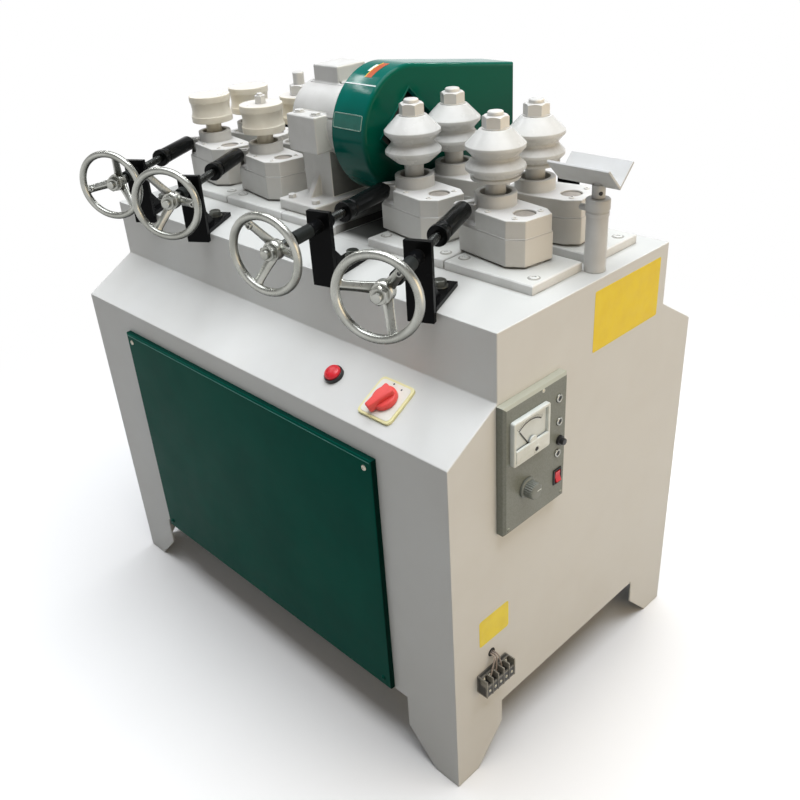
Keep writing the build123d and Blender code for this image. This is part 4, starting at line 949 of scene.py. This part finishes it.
make_speed_knob()
rocker_frame = frame_ring(20, 28, 2.6, 2.6, 2.0, shifted(box_face, -88, 537))
piece("rocker_frame", [rocker_frame], "black_abs", "controller_box")
fuse = [(0, 0), (8, 0), (8, 5), (5.5, 5), (5.5, 11), (0, 11)]
fuse_cap = lathe(fuse, [0.4, 0.8, 0.4, 1.0], shifted(box_face, -85, 602))
piece("fuse_cap", [fuse_cap], "black_abs", "fuse_holder", stands_for=True)
piece("control_screw", [pan_head(3.4, shifted(box_face, -127, 706))], "zinc_plating", "controller_box")
low_screws = [pan_head(3.4, shifted(box_face, y, 500)) for y in (-206, -76)]
piece("control_screws_low", low_screws, "control_hammer_finish", "controller_box")
sockets = [shifted(box_face, y, z) for y, z in ((-89, 677), (-87, 636), (-89, 580))]
ring = [(4.0, -0.2), (4.0, 2.2), (6.0, 2.6), (7.0, 1.4), (7.0, -0.2)]
rings = [lathe(ring, [0.4, 0.6, 0.5], place, 36) for place in sockets]
piece("control_rings", rings, "handwheel_chrome", "controller_box")
centres = [lathe([(0, 1.6), (4.1, 1.2), (4.1, -0.2)], 0.6, place, 28) for place in sockets]
piece("control_centres", centres, "black_abs", "controller_box")


# ---- terminal block and bare patches

strip_face = shifted(side_face, -230, 209)
bay_pitch = (72 - 2.5) / 5
bay_screws = [
    pan_head(radius, shifted(strip_face, (k - 2) * bay_pitch, up, out))
    for radius, up, out in ((3.4, 11.5, 9.0), (3.0, -6.5, 21.0)) for k in range(5)
]
piece("terminal_screws", bay_screws, "zinc_plating", "terminal_block")
lip = [(5.0, -3), (5.0, 0.8), (6.4, 1.5), (8.0, 0.9), (8.0, 0.0), (6.9, 0.0), (6.9, -3)]
grommet = lathe(lip, [0.6, 0.6, 0.6, 0.2, 0.2], shifted(side_face, -229, 254), 32)
piece("wire_grommet", [grommet], "belt_rubber", "cabinet")
upper_patch = sheet(183, 102, 3.0, -0.2, 0.35, shifted(side_face, 108.5, 755))
lower_patch = sheet(72, 54, 5.0, -0.2, 0.35, shifted(side_face, -222, 310))
piece("side_patch", [upper_patch], "yellow_vinyl", "cabinet")
piece("side_patch_low", [lower_patch], "lemon_vinyl", "cabinet")


# ---- switch and button on the sloped ledge

ledge = stand((0, front_face, ledge_low), along_x, (0, ledge_run, ledge_rise))
switch = shifted(ledge, 334, 57)
switch_top = 5.0
switch_rim = plate(box_outline(70, 70, 9.0), soft_edge(0, 4.2, 1.0), switch)
piece("switch_rim", [switch_rim], "yellow_abs", "switch_plate", stands_for=True)
switch_face = plate(box_outline(62, 62, 8.0), soft_edge(3.6, switch_top, 0.5), switch)
piece("switch_face", [switch_face], "white_abs", "switch_plate")
dot = circle(1.6, 20), [(0, 0), (0, 0.15)]
dots = [plate(*dot, shifted(switch, x, y, switch_top)) for x, y in ((-5, 28), (14, 24))]
piece("switch_marks", dots, "black_abs", "switch_plate")


def make_switch_knob():
    """Rotary knob: a low round base, and on it a grip that tapers to the pointer, its top edge rounded."""
    place = shifted(switch, z=switch_top, turn=252.0)
    foot = [(0, 0.4), (21, 0.4), (21, 6.6), (18.6, 9), (0, 9.2)]
    base = lathe(foot, [0.4, 1.4, 1.6], place, 64, 5)
    grip = rounded([(-16.9, -12.5), (29, -5.5), (29, 5.5), (-16.9, 12.5)], [5, 3, 3, 5], 6, closed=True)
    bar = plate(grip, soft_edge(3.0, 17.0, 3.0, 6), place)
    piece("switch_knob_grip", [base, bar], "knob_nylon", "switch_knob", stands_for=True)


make_switch_knob()
button = shifted(ledge, 213, 60)
bezel = [(14.3, 1.0), (14.3, 6.4), (15.0, 7.0), (15.9, 6.5), (16.5, 4.5), (16.5, 0), (14.3, 0)]
button_ring = lathe(bezel, [0.3, 0.3, 0.4, 0.6, 0], button, 48)
piece("button_ring", [button_ring], "black_abs", "button_bezel", stands_for=True)
a = np.linspace(0, pi / 2, 10)
dome = np.stack([14 * np.cos(a) ** 0.7, 8.4 + 5.6 * np.sin(a)], -1)
cap = np.concatenate([[(0, 4.6), (13.9, 4.6), (14, 8.0)], dome])
piece("button_dome", [turned(cap, button, 48)], "red_abs", "button", stands_for=True)


# ---- floor, light and camera


def make_floor():
    """A pale floor: a plain square grid in the plane of the feet. It gives back less light than it shows, and
    fades to white between 0.9 and 1.9 m from the middle."""
    side = np.linspace(-24.0, 24.0, 9)
    x, y = np.meshgrid(side, side, indexing="ij")
    points, faces = grid(np.stack([x, y, 0 * x], -1), wrap_columns=False)
    mesh = bpy.data.meshes.new("floor")
    mesh.from_pydata(points.tolist(), [], faces[0][:, ::-1].tolist())
    made = linked("floor", mesh)
    node, place = begin("pale_floor")
    bounced = node("LightPath", out="Is Diffuse Ray")
    away = node("VectorMath", {0: place}, "Value", operation="LENGTH")
    tone = {0: bounced, 6: linear("#f7f7f7"), 7: linear("#93928f")}
    lit = node("BsdfDiffuse", {"Color": node("Mix", tone, 2, data_type="RGBA")})
    plain = node("Emission", {"Color": (1, 1, 1, 1), "Strength": 1.0})
    seen = node("Math", {0: 1.0, 1: bounced}, operation="SUBTRACT")
    span = {"Value": away, "From Min": 0.9, "From Max": 1.9}
    far = node("MapRange", span, interpolation_type="SMOOTHSTEP")
    fade = node("Math", {0: far, 1: seen}, operation="MULTIPLY")
    node("OutputMaterial", {"Surface": node("MixShader", {0: fade, 1: lit, 2: plain})})
    mesh.materials.append(finishes["pale_floor"])


def make_world():
    """A quiet room: even grey for the light it gives, pale towards the horizon where metal mirrors it."""
    world = bpy.data.worlds.new("studio")
    world.use_nodes = True
    world.node_tree.nodes.clear()
    node = partial(add, world.node_tree)
    height = node("SeparateXYZ", {0: node("TexCoord", out="Generated")}, 2)
    slide = {"Value": height, "From Min": 0.0, "From Max": 0.6, "To Min": 1.0, "To Max": 0.34}
    glow = node("MapRange", slide, interpolation_type="SMOOTHSTEP")
    bounced = node("LightPath", out="Is Diffuse Ray")
    level = node("Mix", {0: bounced, 2: glow, 3: 0.16}, data_type="FLOAT")
    node("OutputWorld", {"Surface": node("Background", {"Color": (1, 1, 1, 1), "Strength": level})})
    bpy.context.scene.world = world


def softbox(name, place, target, width, height, power, colour):
    """A rectangular studio lamp that looks at a point."""
    lamp = bpy.data.lights.new(name, "AREA")
    lamp.shape = "RECTANGLE"
    lamp.size = width
    lamp.size_y = height
    lamp.energy = power
    lamp.color = linear(colour)[:3]
    gaze = np.asarray(target, float) - np.asarray(place, float)
    z = -gaze / np.linalg.norm(gaze)
    x = np.cross(along_y if abs(z[2]) > 0.7 else upright, z)
    x = x / np.linalg.norm(x)
    turn = Matrix(np.array([x, np.cross(z, x), z]).T.tolist()).to_4x4()
    linked(name, lamp).matrix_world = Matrix.Translation(place) @ turn


def make_camera():
    """The photograph's view: place in the machine's mm, turn about Z, tilt and roll in degrees."""
    sensor, focal, picture_width = 36.0, 886.6, 800
    lens = bpy.data.cameras.new("camera")
    lens.sensor_width = sensor
    lens.lens = focal / picture_width * sensor
    lens.sensor_fit = "HORIZONTAL"
    lens.clip_end = 200.0
    made = linked("camera", lens)
    place = np.array([1185.95, -1033.68, 1341.80]) * mm + home
    turn = Matrix.Rotation(radians(47.07), 4, "Z") @ Matrix.Rotation(radians(60.18), 4, "X")
    made.matrix_world = Matrix.Translation(place.tolist()) @ turn @ Matrix.Rotation(radians(-3.82), 4, "Z")
    bpy.context.scene.camera = made


make_floor()
make_world()
softbox("overhead", (0.45, 0.35, 5.5), (0.1, 0.2, 0.8), 5.2, 4.4, 378.0, "#f8fbff")
softbox("right_side", (3.5, 0.4, 1.1), (0.4, 0.1, 0.6), 3.4, 2.0, 37.0, "#ffdfaa")
softbox("back_strip", (-0.7, 3.1, 3.2), (0.1, -0.1, 0.95), 1.6, 0.05, 13.0, "#ffffff")
softbox("strip", (-2.1, -0.12, 3.1), (0.05, 0.0, 1.07), 1.4, 0.05, 9.0, "#ffffff")
make_camera()
bpy.context.scene.view_settings.view_transform = "Standard"
